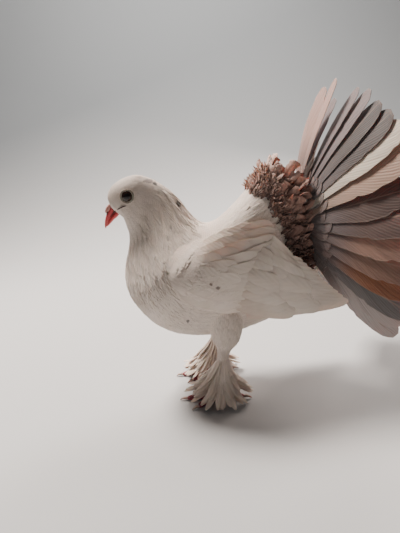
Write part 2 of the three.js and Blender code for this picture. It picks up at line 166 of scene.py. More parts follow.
BODY = Loft((
    (-70.3, 172.6, -64.0, 165.4, 5.5),
    (-71.6, 180.5, -60.8, 162.4, 10.0),
    (-67.5, 188.3, -58.2, 158.4, 12.8),
    (-58.5, 194.0, -57.6, 152.0, 14.2),
    (-46.5, 196.2, -57.2, 147.0, 15.0),
    (-34.0, 192.4, -58.0, 141.0, 15.8),
    (-23.5, 185.0, -59.8, 134.0, 17.5),
    (-14.5, 175.5, -62.3, 126.0, 21.0),
    (-7.5, 165.5, -64.3, 116.5, 27.0),
    (-2.0, 158.0, -64.6, 106.0, 33.5),
    (3.5, 153.4, -62.0, 94.5, 39.5),
    (10.0, 152.2, -55.5, 81.5, 43.0),
    (17.0, 154.0, -44.0, 68.0, 44.5),
    (24.0, 158.5, -27.0, 57.5, 43.5),
    (31.0, 164.5, -4.0, 52.5, 40.5),
    (38.0, 171.2, 24.0, 53.0, 36.5),
    (45.0, 178.0, 51.0, 59.5, 31.5),
    (51.5, 183.6, 76.0, 71.0, 27.0),
    (57.0, 187.5, 96.0, 86.0, 22.5),
    (66.0, 189.0, 97.5, 100.0, 20.0),
    (76.0, 185.0, 99.5, 115.0, 16.5),
    (85.0, 176.0, 100.5, 130.0, 12.0),
    (92.0, 164.0, 100.0, 143.0, 6.0),
))
UPPER_BILL = Loft((
    (-69.5, 172.6, -67.2, 166.0, 4.3),
    (-73.6, 167.4, -70.6, 162.4, 3.5),
    (-76.2, 161.4, -73.4, 158.6, 2.4),
    (-77.2, 156.6, -75.6, 155.6, 1.3),
    (-76.9, 154.1, -76.4, 154.0, 0.5),
))
LOWER_BILL = Loft((
    (-64.0, 169.4, -62.2, 166.6, 4.2),
    (-67.4, 166.5, -65.7, 162.9, 3.8),
    (-70.6, 163.1, -69.0, 160.5, 3.0),
    (-73.4, 159.4, -72.0, 157.8, 2.0),
    (-75.7, 156.2, -74.9, 155.6, 0.9),
))


class Link:
    """A shader socket that takes part in Python sums."""

    def __init__(self, shader: "Shader", socket: Any) -> None:
        """Keeps the shader and the socket."""
        self.shader = shader
        self.socket = socket

    def _maths(self, kind: str, a: Any, b: Any) -> "Link":
        """Adds one sum to the shader."""
        return self.shader.node("ShaderNodeMath", {"operation": kind}, {0: a, 1: b})

    def __add__(self, other: Any) -> "Link":
        """Adds."""
        return self._maths("ADD", self, other)

    def __radd__(self, other: Any) -> "Link":
        """Adds from the left."""
        return self._maths("ADD", other, self)

    def __sub__(self, other: Any) -> "Link":
        """Takes away."""
        return self._maths("SUBTRACT", self, other)

    def __rsub__(self, other: Any) -> "Link":
        """Takes this from a number."""
        return self._maths("SUBTRACT", other, self)

    def __mul__(self, other: Any) -> "Link":
        """Multiplies."""
        return self._maths("MULTIPLY", self, other)

    def __rmul__(self, other: Any) -> "Link":
        """Multiplies from the left."""
        return self._maths("MULTIPLY", other, self)

    def apply(self, kind: str) -> "Link":
        """Applies a one-value sum, such as SINE or ABSOLUTE."""
        return self._maths(kind, self, 0.0)

    def step(self, low: float, high: float) -> "Link":
        """Goes smoothly from 0 at low to 1 at high."""
        settings = {"interpolation_type": "SMOOTHSTEP"}
        return self.shader.node("ShaderNodeMapRange", settings, {0: self, 1: low, 2: high, 3: 0.0, 4: 1.0})


class Shader:
    """A material's node tree, written as expressions."""

    def __init__(self, name: str) -> None:
        """Starts an empty material.

        Args:
            name: the material's name.
        """
        self.material = bpy.data.materials.new(name)
        self.material.use_nodes = True
        self.tree = self.material.node_tree
        self.tree.nodes.clear()

    def node(self, kind: str, settings: dict[str, Any] | None = None,
             inputs: dict[Any, Any] | None = None, output: Any = 0) -> Link:
        """Adds one node.

        Args:
            kind: the node's type.
            settings: its own settings, set first.
            inputs: values or links for its sockets, by name or number.
            output: the socket to hand back.

        Returns:
            The node's output.
        """
        made = self.tree.nodes.new(kind)
        for key, value in (settings or {}).items():
            setattr(made, key, value)
        for key, value in (inputs or {}).items():
            if isinstance(value, Link):
                self.tree.links.new(value.socket, made.inputs[key])
            elif isinstance(value, tuple) and len(value) == 3 and made.inputs[key].type == "RGBA":
                made.inputs[key].default_value = (*value, 1.0)
            else:
                made.inputs[key].default_value = value
        return Link(self, made.outputs[output])

    def place(self) -> Link:
        """The point on the piece, in metres."""
        return self.node("ShaderNodeTexCoord", output="Object")

    def blade(self) -> tuple[Link, Link]:
        """The place across and along a feather, each from 0 to 1."""
        uv = self.node("ShaderNodeUVMap", {"uv_map": "Blade"})
        cut = self.tree.nodes.new("ShaderNodeSeparateXYZ")
        self.tree.links.new(uv.socket, cut.inputs[0])
        return Link(self, cut.outputs[0]), Link(self, cut.outputs[1])

    def attribute(self, name: str) -> Link:
        """A number kept on the mesh."""
        return self.node("ShaderNodeAttribute", {"attribute_name": name}, output="Fac")

    def colour(self, name: str) -> Link:
        """A colour kept on the mesh."""
        return self.node("ShaderNodeAttribute", {"attribute_name": name}, output="Color")

    def noise(self, scale: float, detail: float = 3.0, vector: Link | None = None) -> Link:
        """A noise between 0 and 1 on the piece.

        Args:
            scale: how many waves to a metre.
            detail: how many finer layers.
            vector: the place to read, if not the piece's own.

        Returns:
            The noise.
        """
        inputs = {"Vector": vector or self.place(), "Scale": scale, "Detail": detail}
        return self.node("ShaderNodeTexNoise", None, inputs)

    def mix(self, share: Any, a: Any, b: Any) -> Link:
        """Mixes two colours.

        Args:
            share: how much of the second.
            a: the first colour.
            b: the second colour.

        Returns:
            The mixed colour.
        """
        made = self.tree.nodes.new("ShaderNodeMix")
        made.data_type = "RGBA"
        for socket, value in ((made.inputs[0], share), (made.inputs[6], a), (made.inputs[7], b)):
            if isinstance(value, Link):
                self.tree.links.new(value.socket, socket)
            else:
                socket.default_value = (*value, 1.0) if isinstance(value, tuple) else value
        return Link(self, made.outputs[2])

    def spot(self, spot: "Spot") -> Link:
        """A soft spot on the piece.

        Args:
            spot: its place and size.

        Returns:
            1 in its middle and 0 outside.
        """
        centre = tuple((np.array(spot.centre) + ORIGIN) * MM)
        off = self.node("ShaderNodeVectorMath", {"operation": "SUBTRACT"}, {0: self.place(), 1: centre})
        size = tuple(1 / (r * MM) for r in spot.radii)
        near = self.node("ShaderNodeVectorMath", {"operation": "MULTIPLY"}, {0: off, 1: size})
        far = self.node("ShaderNodeVectorMath", {"operation": "LENGTH"}, {0: near}, output="Value")
        rough = self.noise(420.0, 2.0)
        return 1.0 - (far + (rough - 0.5) * 1.3).step(0.55, 1.05)

    def finish(self, constants: dict[str, Any], links: dict[str, Any], bump: Link | None = None,
               depth: float = 0.0003) -> bpy.types.Material:
        """Closes the material with one surface shader.

        Args:
            constants: values that are the same all over.
            links: what changes over the surface.
            bump: a height that shapes the light.
            depth: the height's real depth in metres.

        Returns:
            The material.
        """
        if bump is not None:
            lit = self.node("ShaderNodeBump", None, {"Height": bump, "Distance": depth})
            links = {**links, "Normal": lit}
        surface = self.node("ShaderNodeBsdfPrincipled", None, {**constants, **links})
        out = self.tree.nodes.new("ShaderNodeOutputMaterial")
        self.tree.links.new(surface.socket, out.inputs["Surface"])
        return self.material


@dataclass(frozen=True)
class Spot:
    """A dark mark in the white plumage, in millimetres of the bird's drawing."""

    centre: tuple[float, float, float]
    radii: tuple[float, float, float]
    colour: tuple[float, float, float] = (0.09, 0.08, 0.085)
    strength: float = 0.8


SPOTS = (
    Spot((7.5, -35.0, 190.2), (7.0, 6.0, 2.6), (0.16, 0.12, 0.125), 0.7),
    Spot((6.5, -30.6, 187.8), (5.0, 2.4, 2.1), (0.05, 0.045, 0.05), 0.9),
    Spot((7.6, -13.0, 170.6), (4.0, 2.8, 5.6), (0.05, 0.045, 0.045), 0.9),
    Spot((23.7, -20.3, 153.2), (3.0, 1.3, 3.4), strength=0.4),
    Spot((28.6, -23.2, 145.4), (3.0, 1.2, 3.4), strength=0.35),
    Spot((49.0, 7.0, 111.0), (4.5, 1.5, 1.7), (0.16, 0.11, 0.095), 0.8),
    Spot((49.0, 12.0, 107.5), (4.5, 2.0, 2.0), (0.13, 0.09, 0.08), 0.8),
    Spot((31.0, -13.5, 77.5), (14.0, 1.6, 2.2), (0.08, 0.06, 0.06), 0.8),
)


@dataclass(frozen=True)
class WhitePlumage:
    """The white feathers of the body, wings and legs, with painted shade at their roots, along their edges
    and in the neck's furrows.
    """

    name: str = "white_plumage"
    light: tuple[float, float, float] = (0.83, 0.705, 0.625)
    shade: tuple[float, float, float] = (0.45, 0.355, 0.30)
    # how much painted shade darkens each feather towards its root
    root_shade_share: float = 0.40
    # how much painted shade darkens each feather along its edges
    edge: float = 0.12

    def build(self) -> bpy.types.Material:
        """Makes the material."""
        s = Shader(self.name)
        across, along = s.blade()
        tint = s.attribute("tint")
        furrow = s.attribute("furrow")
        cloud = s.noise(38.0, 3.0).step(0.3, 0.75)
        side = (across - 0.5).apply("ABSOLUTE")
        barbs = ((along * 34.0 + side * 22.0) + tint * 9.0).apply("SINE")
        colour = s.mix(cloud * 0.32 + tint * 0.22, self.light, self.shade)
        # painted shade at the roots, where the feathers above cover them
        colour = s.mix((1.0 - along.step(0.0, 0.7)) * self.root_shade_share, colour, self.shade)
        # painted shade along the edges, as the shadow where the feathers overlap
        colour = s.mix(side.step(0.4, 0.5) * self.edge, colour, self.shade)
        # painted shade in the furrows between the rows of feathers
        colour = s.mix(furrow * 0.75, colour, s.mix(0.6, self.shade, (0.16, 0.12, 0.10)))
        for spot in SPOTS:
            colour = s.mix(s.spot(spot) * spot.strength, colour, spot.colour)
        rough = 0.62 + s.noise(300.0, 2.0) * 0.2
        constants = {"Subsurface Weight": 0.10, "Subsurface Scale": 0.004, "Sheen Weight": 0.3,
                     "Sheen Roughness": 0.45, "Specular IOR Level": 0.3}
        return s.finish(constants, {"Base Color": colour, "Roughness": rough}, barbs * 0.5, 0.00006)


@dataclass(frozen=True)
class TailPlumage:
    """Coloured feathers, each of its own colour, with barbs that part, a shaft, a thin pale edge and painted
    shade towards the root.
    """

    name: str = "tail_plumage"
    barbs: float = 150.0
    slant: float = 0.55
    dull: tuple[float, float, float] = (0.070, 0.058, 0.064)
    edge: float = 0.14

    def build(self) -> bpy.types.Material:
        """Makes the material."""
        s = Shader(self.name)
        across, along = s.blade()
        own = s.colour("hue")
        tint = s.attribute("tint")
        own = s.mix((1.0 - along.step(0.34, 0.66)) * s.attribute("furrow"), own, self.dull)
        side = (across - 0.5).apply("ABSOLUTE")
        barb = along - side * self.slant
        lane = s.node("ShaderNodeCombineXYZ", None, {0: barb * 26.0, 1: across * 1.6, 2: tint * 40.0})
        parting = s.noise(1.0, 4.0, lane)
        patch = s.node("ShaderNodeCombineXYZ", None, {0: along * 4.0, 1: across * 3.0, 2: tint * 60.0})
        cloud = s.noise(1.0, 2.0, patch)
        fine = (barb * self.barbs).apply("SINE")
        deep = s.mix(0.6, own, (0.015, 0.010, 0.009))
        colour = s.mix(parting.step(0.42, 0.75) * 0.55, own, deep)
        colour = s.mix(cloud.step(0.35, 0.8) * 0.35, colour, s.mix(0.2, own, (0.30, 0.22, 0.18)))
        colour = s.mix(fine.step(-1.0, 1.0) * 0.07, colour, deep)
        colour = s.mix(side.step(0.46, 0.5) * self.edge, colour, (0.42, 0.34, 0.28))
        colour = s.mix(along.step(0.965, 1.0) * self.edge, colour, (0.45, 0.37, 0.31))
        colour = s.mix((1.0 - side.step(0.010, 0.026)) * 0.55, colour, (0.20, 0.14, 0.11))
        # painted shade towards the root, where the feathers lie under the coverts and each other
        colour = s.mix((1.0 - along.step(0.1, 0.5)) * 0.5, colour, deep)
        rough = 0.55 + parting * 0.25
        constants = {"Subsurface Weight": 0.08, "Subsurface Scale": 0.003, "Sheen Weight": 0.2,
                     "Sheen Roughness": 0.5, "Specular IOR Level": 0.3}
        links = {"Base Color": colour, "Roughness": rough}
        return s.finish(constants, links, fine * 0.4 + parting * 2.0, 0.00012)


@dataclass(frozen=True)
class Horn:
    """The bill and the claws."""

    name: str
    base: tuple[float, float, float]
    tip: tuple[float, float, float]
    tip_height: tuple[float, float]
    roughness: float = 0.38

    def build(self) -> bpy.types.Material:
        """Makes the material."""
        s = Shader(self.name)
        cut = s.node("ShaderNodeSeparateXYZ", None, {0: s.place()}, output="Z")
        fade = cut.step(self.tip_height[0] * MM, self.tip_height[1] * MM)
        colour = s.mix(fade, self.tip, self.base)
        grain = s.noise(900.0, 3.0)
        colour = s.mix(grain * 0.35, colour, s.mix(0.5, colour, (0.12, 0.03, 0.03)))
        rough = self.roughness + grain * 0.2
        constants = {"Subsurface Weight": 0.2, "Subsurface Scale": 0.002}
        return s.finish(constants, {"Base Color": colour, "Roughness": rough}, grain, 0.00015)


@dataclass(frozen=True)
class BareSkin:
    """Skin without feathers: cere, rim of the eye and toes."""

    name: str
    colour: tuple[float, float, float]
    shade: tuple[float, float, float]
    scale: float = 700.0
    roughness: float = 0.5

    def build(self) -> bpy.types.Material:
        """Makes the material."""
        s = Shader(self.name)
        cells = s.node("ShaderNodeTexVoronoi", None, {"Vector": s.place(), "Scale": self.scale})
        cloud = s.noise(self.scale / 3, 3.0)
        colour = s.mix(cloud.step(0.3, 0.7), self.colour, self.shade)
        colour = s.mix(cells.step(0.3, 0.75) * 0.35, colour, s.mix(0.6, colour, (0.05, 0.02, 0.02)))
        constants = {"Subsurface Weight": 0.15, "Subsurface Scale": 0.002}
        rough = self.roughness + cloud * 0.2
        return s.finish(constants, {"Base Color": colour, "Roughness": rough}, 1.0 - cells, 0.0002)


@dataclass(frozen=True)
class EyeGloss:
    """A dark wet eye with a brown ring around its pupil."""

    name: str = "eye_gloss"

    def build(self) -> bpy.types.Material:
        """Makes the material."""
        s = Shader(self.name)
        along = s.blade()[1]
        fibres = s.noise(900.0, 2.0)
        ring = along.step(0.15, 0.19) * (1.0 - along.step(0.27, 0.32))
        colour = s.mix(ring * (0.3 + fibres * 0.5), (0.004, 0.003, 0.003), (0.035, 0.014, 0.008))
        constants = {"Roughness": 0.06, "Coat Weight": 0.35, "Coat Roughness": 0.02,
                     "Specular IOR Level": 0.2}
        return s.finish(constants, {"Base Color": colour})


class Finish(Enum):
    """The finishes of the bird."""

    WHITE = WhitePlumage()
    COVERT = TailPlumage("covert_plumage", barbs=60.0, slant=0.4, edge=0.25)
    TAIL = TailPlumage()
    BILL = Horn("bill_horn", (0.55, 0.06, 0.07), (0.60, 0.12, 0.11), (154.0, 165.0))
    CLAW = Horn("claw_horn", (0.55, 0.42, 0.37), (0.32, 0.22, 0.18), (0.0, 3.0))
    CERE = BareSkin("cere_skin", (0.58, 0.33, 0.29), (0.44, 0.20, 0.18), 900.0, 0.6)
    LID = BareSkin("lid_skin", (0.36, 0.34, 0.28), (0.19, 0.175, 0.14), 1300.0, 0.55)
    TOE = BareSkin("toe_skin", (0.36, 0.085, 0.10), (0.22, 0.05, 0.07), 520.0, 0.45)
    EYE = EyeGloss()
    # dark tubes of painted shade in the nostrils and along the mouth line
    DARK = BareSkin("bill_slit_shade", (0.05, 0.015, 0.015), (0.03, 0.01, 0.01), 500.0, 0.6)


MATERIALS: dict[Finish, bpy.types.Material] = {}


def material(finish: Finish) -> bpy.types.Material:
    """Gives a finish's material, made once."""
    if finish not in MATERIALS:
        MATERIALS[finish] = finish.value.build()
    return MATERIALS[finish]


def register(piece: bpy.types.Object, finish: Finish, nodes: Sequence[str] = ()) -> None:
    """Dresses a piece and ties it to the frame.

    Args:
        piece: the finished piece.
        finish: its finish.
        nodes: the solids it stands for.
    """
    piece.data.materials.clear()
    piece.data.materials.append(material(finish))
    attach(piece, "root")
    if nodes:
        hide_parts(*nodes)
    log.info("%s: %d faces", piece.name, len(piece.data.polygons))


def add_object(name: str, data: Any) -> bpy.types.Object:
    """Adds an object with its mesh, light or camera to the scene."""
    made = bpy.data.objects.new(name, data)
    bpy.context.scene.collection.objects.link(made)
    return made


def paint(mesh: bpy.types.Mesh, hues: Floats) -> None:
    """Keeps a colour for each corner of a mesh."""
    rows = np.column_stack([hues, np.ones(len(hues))]).astype(np.float32)
    layer = mesh.attributes.new("hue", "FLOAT_COLOR", "POINT")
    layer.data.foreach_set("color", rows.ravel())


def object_from(name: str, bm: bmesh.types.BMesh) -> bpy.types.Object:
    """Turns a finished bmesh in millimetres into an object in the frame.

    Args:
        name: the piece's name.
        bm: the mesh, which is freed.

    Returns:
        The object.
    """
    bmesh.ops.translate(bm, verts=bm.verts, vec=Vector(ORIGIN))
    bmesh.ops.scale(bm, verts=bm.verts, vec=(MM, MM, MM))
    bmesh.ops.recalc_face_normals(bm, faces=bm.faces)
    for face in bm.faces:
        face.smooth = True
    mesh = bpy.data.meshes.new(name)
    bm.to_mesh(mesh)
    bm.free()
    return add_object(name, mesh)


def ball(bm: bmesh.types.BMesh, sides: int, rings: int) -> tuple[list, Floats, Floats]:
    """Adds a ball that is then moved into a shape.

    Args:
        bm: the mesh to add to.
        sides: sides around it.
        rings: rings from pole to pole.

    Returns:
        Its corners, how far each lies from pole to pole, from 0 to 1, and its angle around.
    """
    made = bmesh.ops.create_uvsphere(bm, u_segments=sides, v_segments=rings, radius=1.0)["verts"]
    flat = np.array([v.co for v in made])
    share = np.arccos(np.clip(flat[:, 2], -1, 1)) / math.pi
    return made, share, np.arctan2(flat[:, 0], flat[:, 1])


def place_corners(made: list, places: Floats) -> None:
    """Moves corners to their places."""
    for vert, co in zip(made, places):
        vert.co = Vector(co)


def wrap_loft(bm: bmesh.types.BMesh, loft: Loft, t0: float, t1: float, lift: float, rings: int,
              sides: int, cap: float = 0.04) -> None:
    """Adds a closed ball wrapped over a stretch of a loft.

    Args:
        bm: the mesh to add to.
        loft: the form to follow.
        t0: the first place along it.
        t1: the last place.
        lift: the distance outside the surface.
        rings: rings along it.
        sides: sides around it.
        cap: the share of the length that closes each end.
    """
    made, share, a = ball(bm, sides, rings)
    t = t0 + (t1 - t0) * np.clip((share - cap) / (1 - 2 * cap), 0, 1)
    fill = np.sqrt(np.clip(np.minimum(share, 1 - share) / cap, 0, 1))[:, None]
    p = loft.points(t, a, lift)
    middle = (loft.points(t, 0 * a) + loft.points(t, 0 * a + math.pi)) / 2
    place_corners(made, middle + (p - middle) * fill)


def add_tube(bm: bmesh.types.BMesh, line: Sequence[Sequence[float]], radii: Sequence[float], rings: int,
             sides: int, scutes: float = 0.0, flat: float = 1.0) -> None:
    """Adds a closed round limb along a line.

    Args:
        bm: the mesh to add to.
        line: the points it passes through.
        radii: its radius at each point.
        rings: rings along it.
        sides: sides around it.
        scutes: how far its cross ridges stand out.
        flat: its height as a share of its width.
    """
    made, share, a = ball(bm, sides, rings)
    stops = np.array(line, float)
    place = share * (len(stops) - 1)
    centre = spline(stops, place)
    ahead = unit(spline(stops, place + 0.02) - spline(stops, place - 0.02))
    side = np.where(np.abs(ahead[:, :1]) > 0.9, [[0.0, 0.0, 1.0]], [[1.0, 0.0, 0.0]])
    side = unit(side - ahead * np.sum(side * ahead, axis=1, keepdims=True))
    other = np.cross(ahead, side)
    r = spline(np.array(radii, float)[:, None], place)[:, 0]
    r = r * (1 + scutes * np.abs(np.sin(share * math.pi * SCUTES)))
    r = r * np.sqrt(np.clip(np.minimum(share, 1 - share) / ROUND_END, 0, 1))
    place_corners(made, centre + side * (r * np.cos(a))[:, None] + other * (r * flat * np.sin(a))[:, None])


@dataclass
class Template:
    """A feather's blade laid flat: across from -1 to 1, along from 0 to 1, and its two faces."""

    points: Floats
    faces: Floats

    @staticmethod
    def build(across: int, along: int, tip_power: float = 0.8) -> "Template":
        """Makes a blade from a grid given a thickness.

        Args:
            across: faces across it.
            along: faces along it.
            tip_power: how much closer the rows lie towards the tip.

        Returns:
            The template.
        """
        bm = bmesh.new()
        bmesh.ops.create_grid(bm, x_segments=across, y_segments=along, size=1.0)
        bmesh.ops.solidify(bm, geom=bm.faces[:], thickness=1.0)
        bmesh.ops.recalc_face_normals(bm, faces=bm.faces)
        bm.verts.index_update()
        points = np.array([v.co for v in bm.verts])
        points[:, 1] = ((points[:, 1] + 1) / 2) ** tip_power
        points[:, 2] = np.where(points[:, 2] > points[:, 2].mean(), 1.0, -1.0)
        faces = np.array([[v.index for v in f.verts] for f in bm.faces])
        bm.free()
        return Template(points, faces)


@dataclass
class Plumes:
    """Many feathers joined into one mesh."""

    name: str
    template: Template

    def build(self, points: Floats, roots: Floats, tint: Floats, hue: Floats | None = None,
              cell: float = PATCH, furrow: Floats | None = None) -> bpy.types.Object:
        """Makes the mesh.

        Args:
            points: the corners of each feather, feather by feather, in millimetres.
            roots: where each feather's patch lies on the unwrapped skin.
            tint: one number for each feather.
            hue: one colour for each feather.
            cell: the size of a feather's patch.
            furrow: how deep each feather lies in a furrow, from 0 to 1; the white plumage paints it as
                shade.

        Returns:
            The object.
        """
        count, size = points.shape[:2]
        faces = (self.template.faces[None] + size * np.arange(count)[:, None, None]).reshape(-1, 4)
        mesh = bpy.data.meshes.new(self.name)
        mesh.vertices.add(count * size)
        mesh.vertices.foreach_set("co", ((points + ORIGIN) * MM).astype(np.float32).ravel())
        mesh.loops.add(faces.size)
        mesh.loops.foreach_set("vertex_index", faces.ravel().astype(np.int32))
        mesh.polygons.add(len(faces))
        mesh.polygons.foreach_set("loop_start", np.arange(0, faces.size, 4, dtype=np.int32))
        mesh.polygons.foreach_set("use_smooth", np.ones(len(faces), bool))
        mesh.update(calc_edges=True)
        blade = np.tile(self.template.points[:, :2] * (0.5, 1.0) + (0.5, 0.0), (count, 1))
        spread = (blade - 0.5).reshape(count, size, 2) * cell + np.clip(roots, cell, 1 - cell)[:, None, :]
        for title, values in (("OFBake", spread.reshape(-1, 2)), ("Blade", blade)):
            layer = mesh.uv_layers.new(name=title)
            layer.data.foreach_set("uv", values[faces.ravel()].astype(np.float32).ravel())
        numbers = {"tint": tint, "furrow": np.zeros(count) if furrow is None else furrow}
        for title, values in numbers.items():
            layer = mesh.attributes.new(title, "FLOAT", "POINT")
            layer.data.foreach_set("value", np.repeat(values, size).astype(np.float32))
        if hue is not None:
            paint(mesh, np.repeat(hue, size, axis=0))
        mesh.set_sharp_from_angle(angle=math.radians(50))
        mesh.validate()
        return add_object(self.name, mesh)


Outline = Sequence[tuple[float, float]]
SMALL_BLADE = ((0, 0.45), (0.25, 0.8), (0.55, 1.0), (0.8, 0.92), (0.93, 0.66), (1.0, 0.25))
WING_BLADE = ((0, 0.5), (0.3, 0.86), (0.6, 1.0), (0.82, 0.93), (0.94, 0.66), (1, 0.22))
LONG_BLADE = ((0, 0.16), (0.14, 0.27), (0.3, 0.48), (0.45, 0.68), (0.72, 1), (0.86, 0.95), (0.94, 0.76),
              (1, 0.26))
COVERT_BLADE = ((0, 0.3), (0.25, 0.62), (0.55, 0.95), (0.8, 1), (0.93, 0.72), (1, 0.25))


def outline_at(outline: Outline, y: Floats) -> Floats:
    """Reads an outline's share of the full value at places along it."""
    return np.interp(y, [row[0] for row in outline], [row[1] for row in outline])


def small_feathers(template: Template, at: Floats, lie: Floats, normal: Floats, length: Floats,
                   width: Floats, lift: Floats, curve: float = 0.12, thick: float = 0.12) -> Floats:
    """Lays short feathers on a surface.

    Args:
        template: the blade.
        at: the root of each feather.
        lie: the way each points.
        normal: the outward way at each.
        length: the length of each.
        width: the width of each.
        lift: how many radians each stands off the surface.
        curve: how far the blade bends back down, as a share of its length.
        thick: the blade's thickness in millimetres.

    Returns:
        The corners of each feather.
    """
    t = template.points
    y = t[:, 1]
    x = t[:, 0] * outline_at(SMALL_BLADE, y)
    z = -curve * (y ** 2) - 0.10 * x ** 2
    across = unit(np.cross(lie, normal))
    ahead = lie * np.cos(lift)[:, None] + normal * np.sin(lift)[:, None]
    up = normal * np.cos(lift)[:, None] - lie * np.sin(lift)[:, None]
    along = ahead[:, None, :] * (y[None, :, None] * length[:, None, None])
    sideways = across[:, None, :] * (x[None, :, None] * width[:, None, None] / 2)
    height = z[None, :, None] * length[:, None, None] + t[None, :, 2:3] * thick / 2
    return at[:, None, :] + along + sideways + up[:, None, :] * height


def long_feathers(template: Template, lines: Floats, faces: Floats, width: Floats, outline: Outline,
                  camber: float, thick: float, ragged: Floats | None = None) -> Floats:
    """Lays long feathers along curves.

    Args:
        template: the blade.
        lines: the points of each feather's shaft.
        faces: the way each feather's upper side looks.
        width: the width of each.
        outline: shares of the full width at shares of the length.
        camber: how far the blade's edges drop, as a share of its width.
        thick: the blade's thickness in millimetres.
        ragged: a change of the width at each corner of each feather.

    Returns:
        The corners of each feather.
    """
    t = template.points
    y = t[:, 1]
    share = outline_at(outline, y)
    made = []
    for i, line in enumerate(lines):
        place = y * (len(line) - 1)
        centre = spline(line, place)
        ahead = unit(spline(line, place + 0.01) - spline(line, place - 0.01))
        out = unit(faces[i] - ahead * np.sum(faces[i] * ahead, axis=1, keepdims=True))
        across = np.cross(ahead, out)
        half = width[i] / 2 * share * (ragged[i] if ragged is not None else 1.0)
        shaft = 0.35 * np.exp(-(t[:, 0] / 0.08) ** 2) * (1 - y)
        drop = -camber * width[i] * t[:, 0] ** 2 * share + t[:, 2] * (thick / 2 + shaft)
        made.append(centre + across * (t[:, 0] * half)[:, None] + out * drop[:, None])
    return np.array(made)


@dataclass
class Sheaf:
    """Long feathers, gathered row by row and then laid as one piece."""

    shafts: list[Floats] = field(default_factory=list)
    faces: list[Floats] = field(default_factory=list)
    widths: list[float] = field(default_factory=list)

    def add(self, shafts: Sequence[Floats], faces: Sequence[Floats], widths: Sequence[float]) -> None:
        """Takes in a row of feathers."""
        self.shafts.extend(shafts)
        self.faces.extend(faces)
        self.widths.extend(widths)

    def corners(self, blade: Template, outline: Outline, camber: float, thick: float,
                ragged: Floats | None = None) -> Floats:
        """Lays the feathers.

        Args:
            blade: the blade.
            outline: shares of the full width at shares of the length.
            camber: how far the blade's edges drop, as a share of its width.
            thick: the blade's thickness in millimetres.
            ragged: a change of the width at each corner of each feather.

        Returns:
            The corners of each feather.
        """
        widths = np.array(self.widths)
        shafts = np.array(self.shafts)
        return long_feathers(blade, shafts, np.array(self.faces), widths, outline, camber, thick, ragged)


def patches(count: int, columns: int, first: tuple[float, float], step: tuple[float, float]) -> Floats:
    """Sets out the patches of feathers in rows on the unwrapped skin.

    Args:
        count: how many patches.
        columns: how many to a row.
        first: the place of the first.
        step: the distances across and between rows.

    Returns:
        One place for each feather.
    """
    n = np.arange(count)
    return np.column_stack([first[0] + step[0] * (n % columns), first[1] + step[1] * (n // columns)])


def even_places(count: int, t0: float, t1: float, seed: int) -> tuple[Floats, Floats]:
    """Spreads places evenly over a stretch of the body, each a little shifted at random.

    Args:
        count: how many places.
        t0: the first place along it.
        t1: the last place.
        seed: what sets the small shifts.

    Returns:
        Places along the stations and angles around them.
    """
    rows, columns = 160, 120
    t = np.linspace(t0, t1, rows)
    a = np.linspace(-math.pi, math.pi, columns)
    tt, aa = np.meshgrid(t, a, indexing="ij")
    p = BODY.points(tt.ravel(), aa.ravel()).reshape(rows, columns, 3)
    area = np.linalg.norm(np.cross(np.gradient(p, axis=0), np.gradient(p, axis=1)), axis=2)
    rings = np.concatenate([[0], np.cumsum(area.sum(axis=1)[1:])])
    n = np.arange(count)
    shift = np.random.default_rng(seed).uniform(-0.01, 0.01, count)
    u = (0.5 + n * 0.7548776662466927 + shift) % 1
    v = (0.5 + n * 0.5698402909980532) % 1
    places = np.interp(u * rings[-1], rings, t)
    row = np.clip(np.searchsorted(t, places), 0, rows - 1)
    around = np.cumsum(area, axis=1)[row]
    around = (around - around[:, :1]) / (around[:, -1:] - around[:, :1])
    angles = np.array([np.interp(v[i], around[i], a) for i in range(count)])
    return places, angles


def down_leg(height: Floats | float) -> Floats:
    """Finds how far down the leg a height lies, from 0 at the hip to 1 at the foot."""
    return np.clip((HIP - height) / LEG_LENGTH, 0, 1)


@dataclass(frozen=True)
class Bed:
    """A stretch of small body feathers over the skin; ridge is how deep the furrows between them are."""

    name: str
    count: int
    start: float
    end: float
    length: float
    width: float
    lift: float
    seed: int
    ridge: float = 0.0


BEDS = (
    Bed("coat_face", 5200, 0.05, 3.2, 2.9, 1.5, 0.10, 1),
    Bed("coat_head", 5200, 2.6, 6.2, 4.4, 1.9, 0.09, 2, ridge=0.12),
    Bed("coat_neck", 7000, 5.2, 11.2, 8.5, 2.5, 0.10, 3, ridge=0.75),
    Bed("coat_breast", 6600, 8.2, 14.0, 9.0, 4.0, 0.085, 4, ridge=0.06),
    Bed("coat_belly", 4400, 12.6, 18.1, 12.0, 5.4, 0.08, 5),
)
LEG_BED = Bed("coat_leg", 2800, 0.7, 4.75, 6.0, 2.5, 0.10, 21)
COAT_EDGE = ((0, 15.9), (18, 16.0), (28, 16.35), (40, 16.9), (50, 17.35), (66, 17.35), (88, 17.45),
             (100, 17.55), (114, 17.8), (130, 18.3), (180, 18.3))


def coat_edge(a: Floats) -> Floats:
    """Finds how far back along the body the white coat reaches at angles from the back line."""
    edge = outline_at(COAT_EDGE, np.abs(np.degrees(a)))
    return edge + 0.08 * np.sin(11 * a) + 0.06 * np.sin(27 * a)


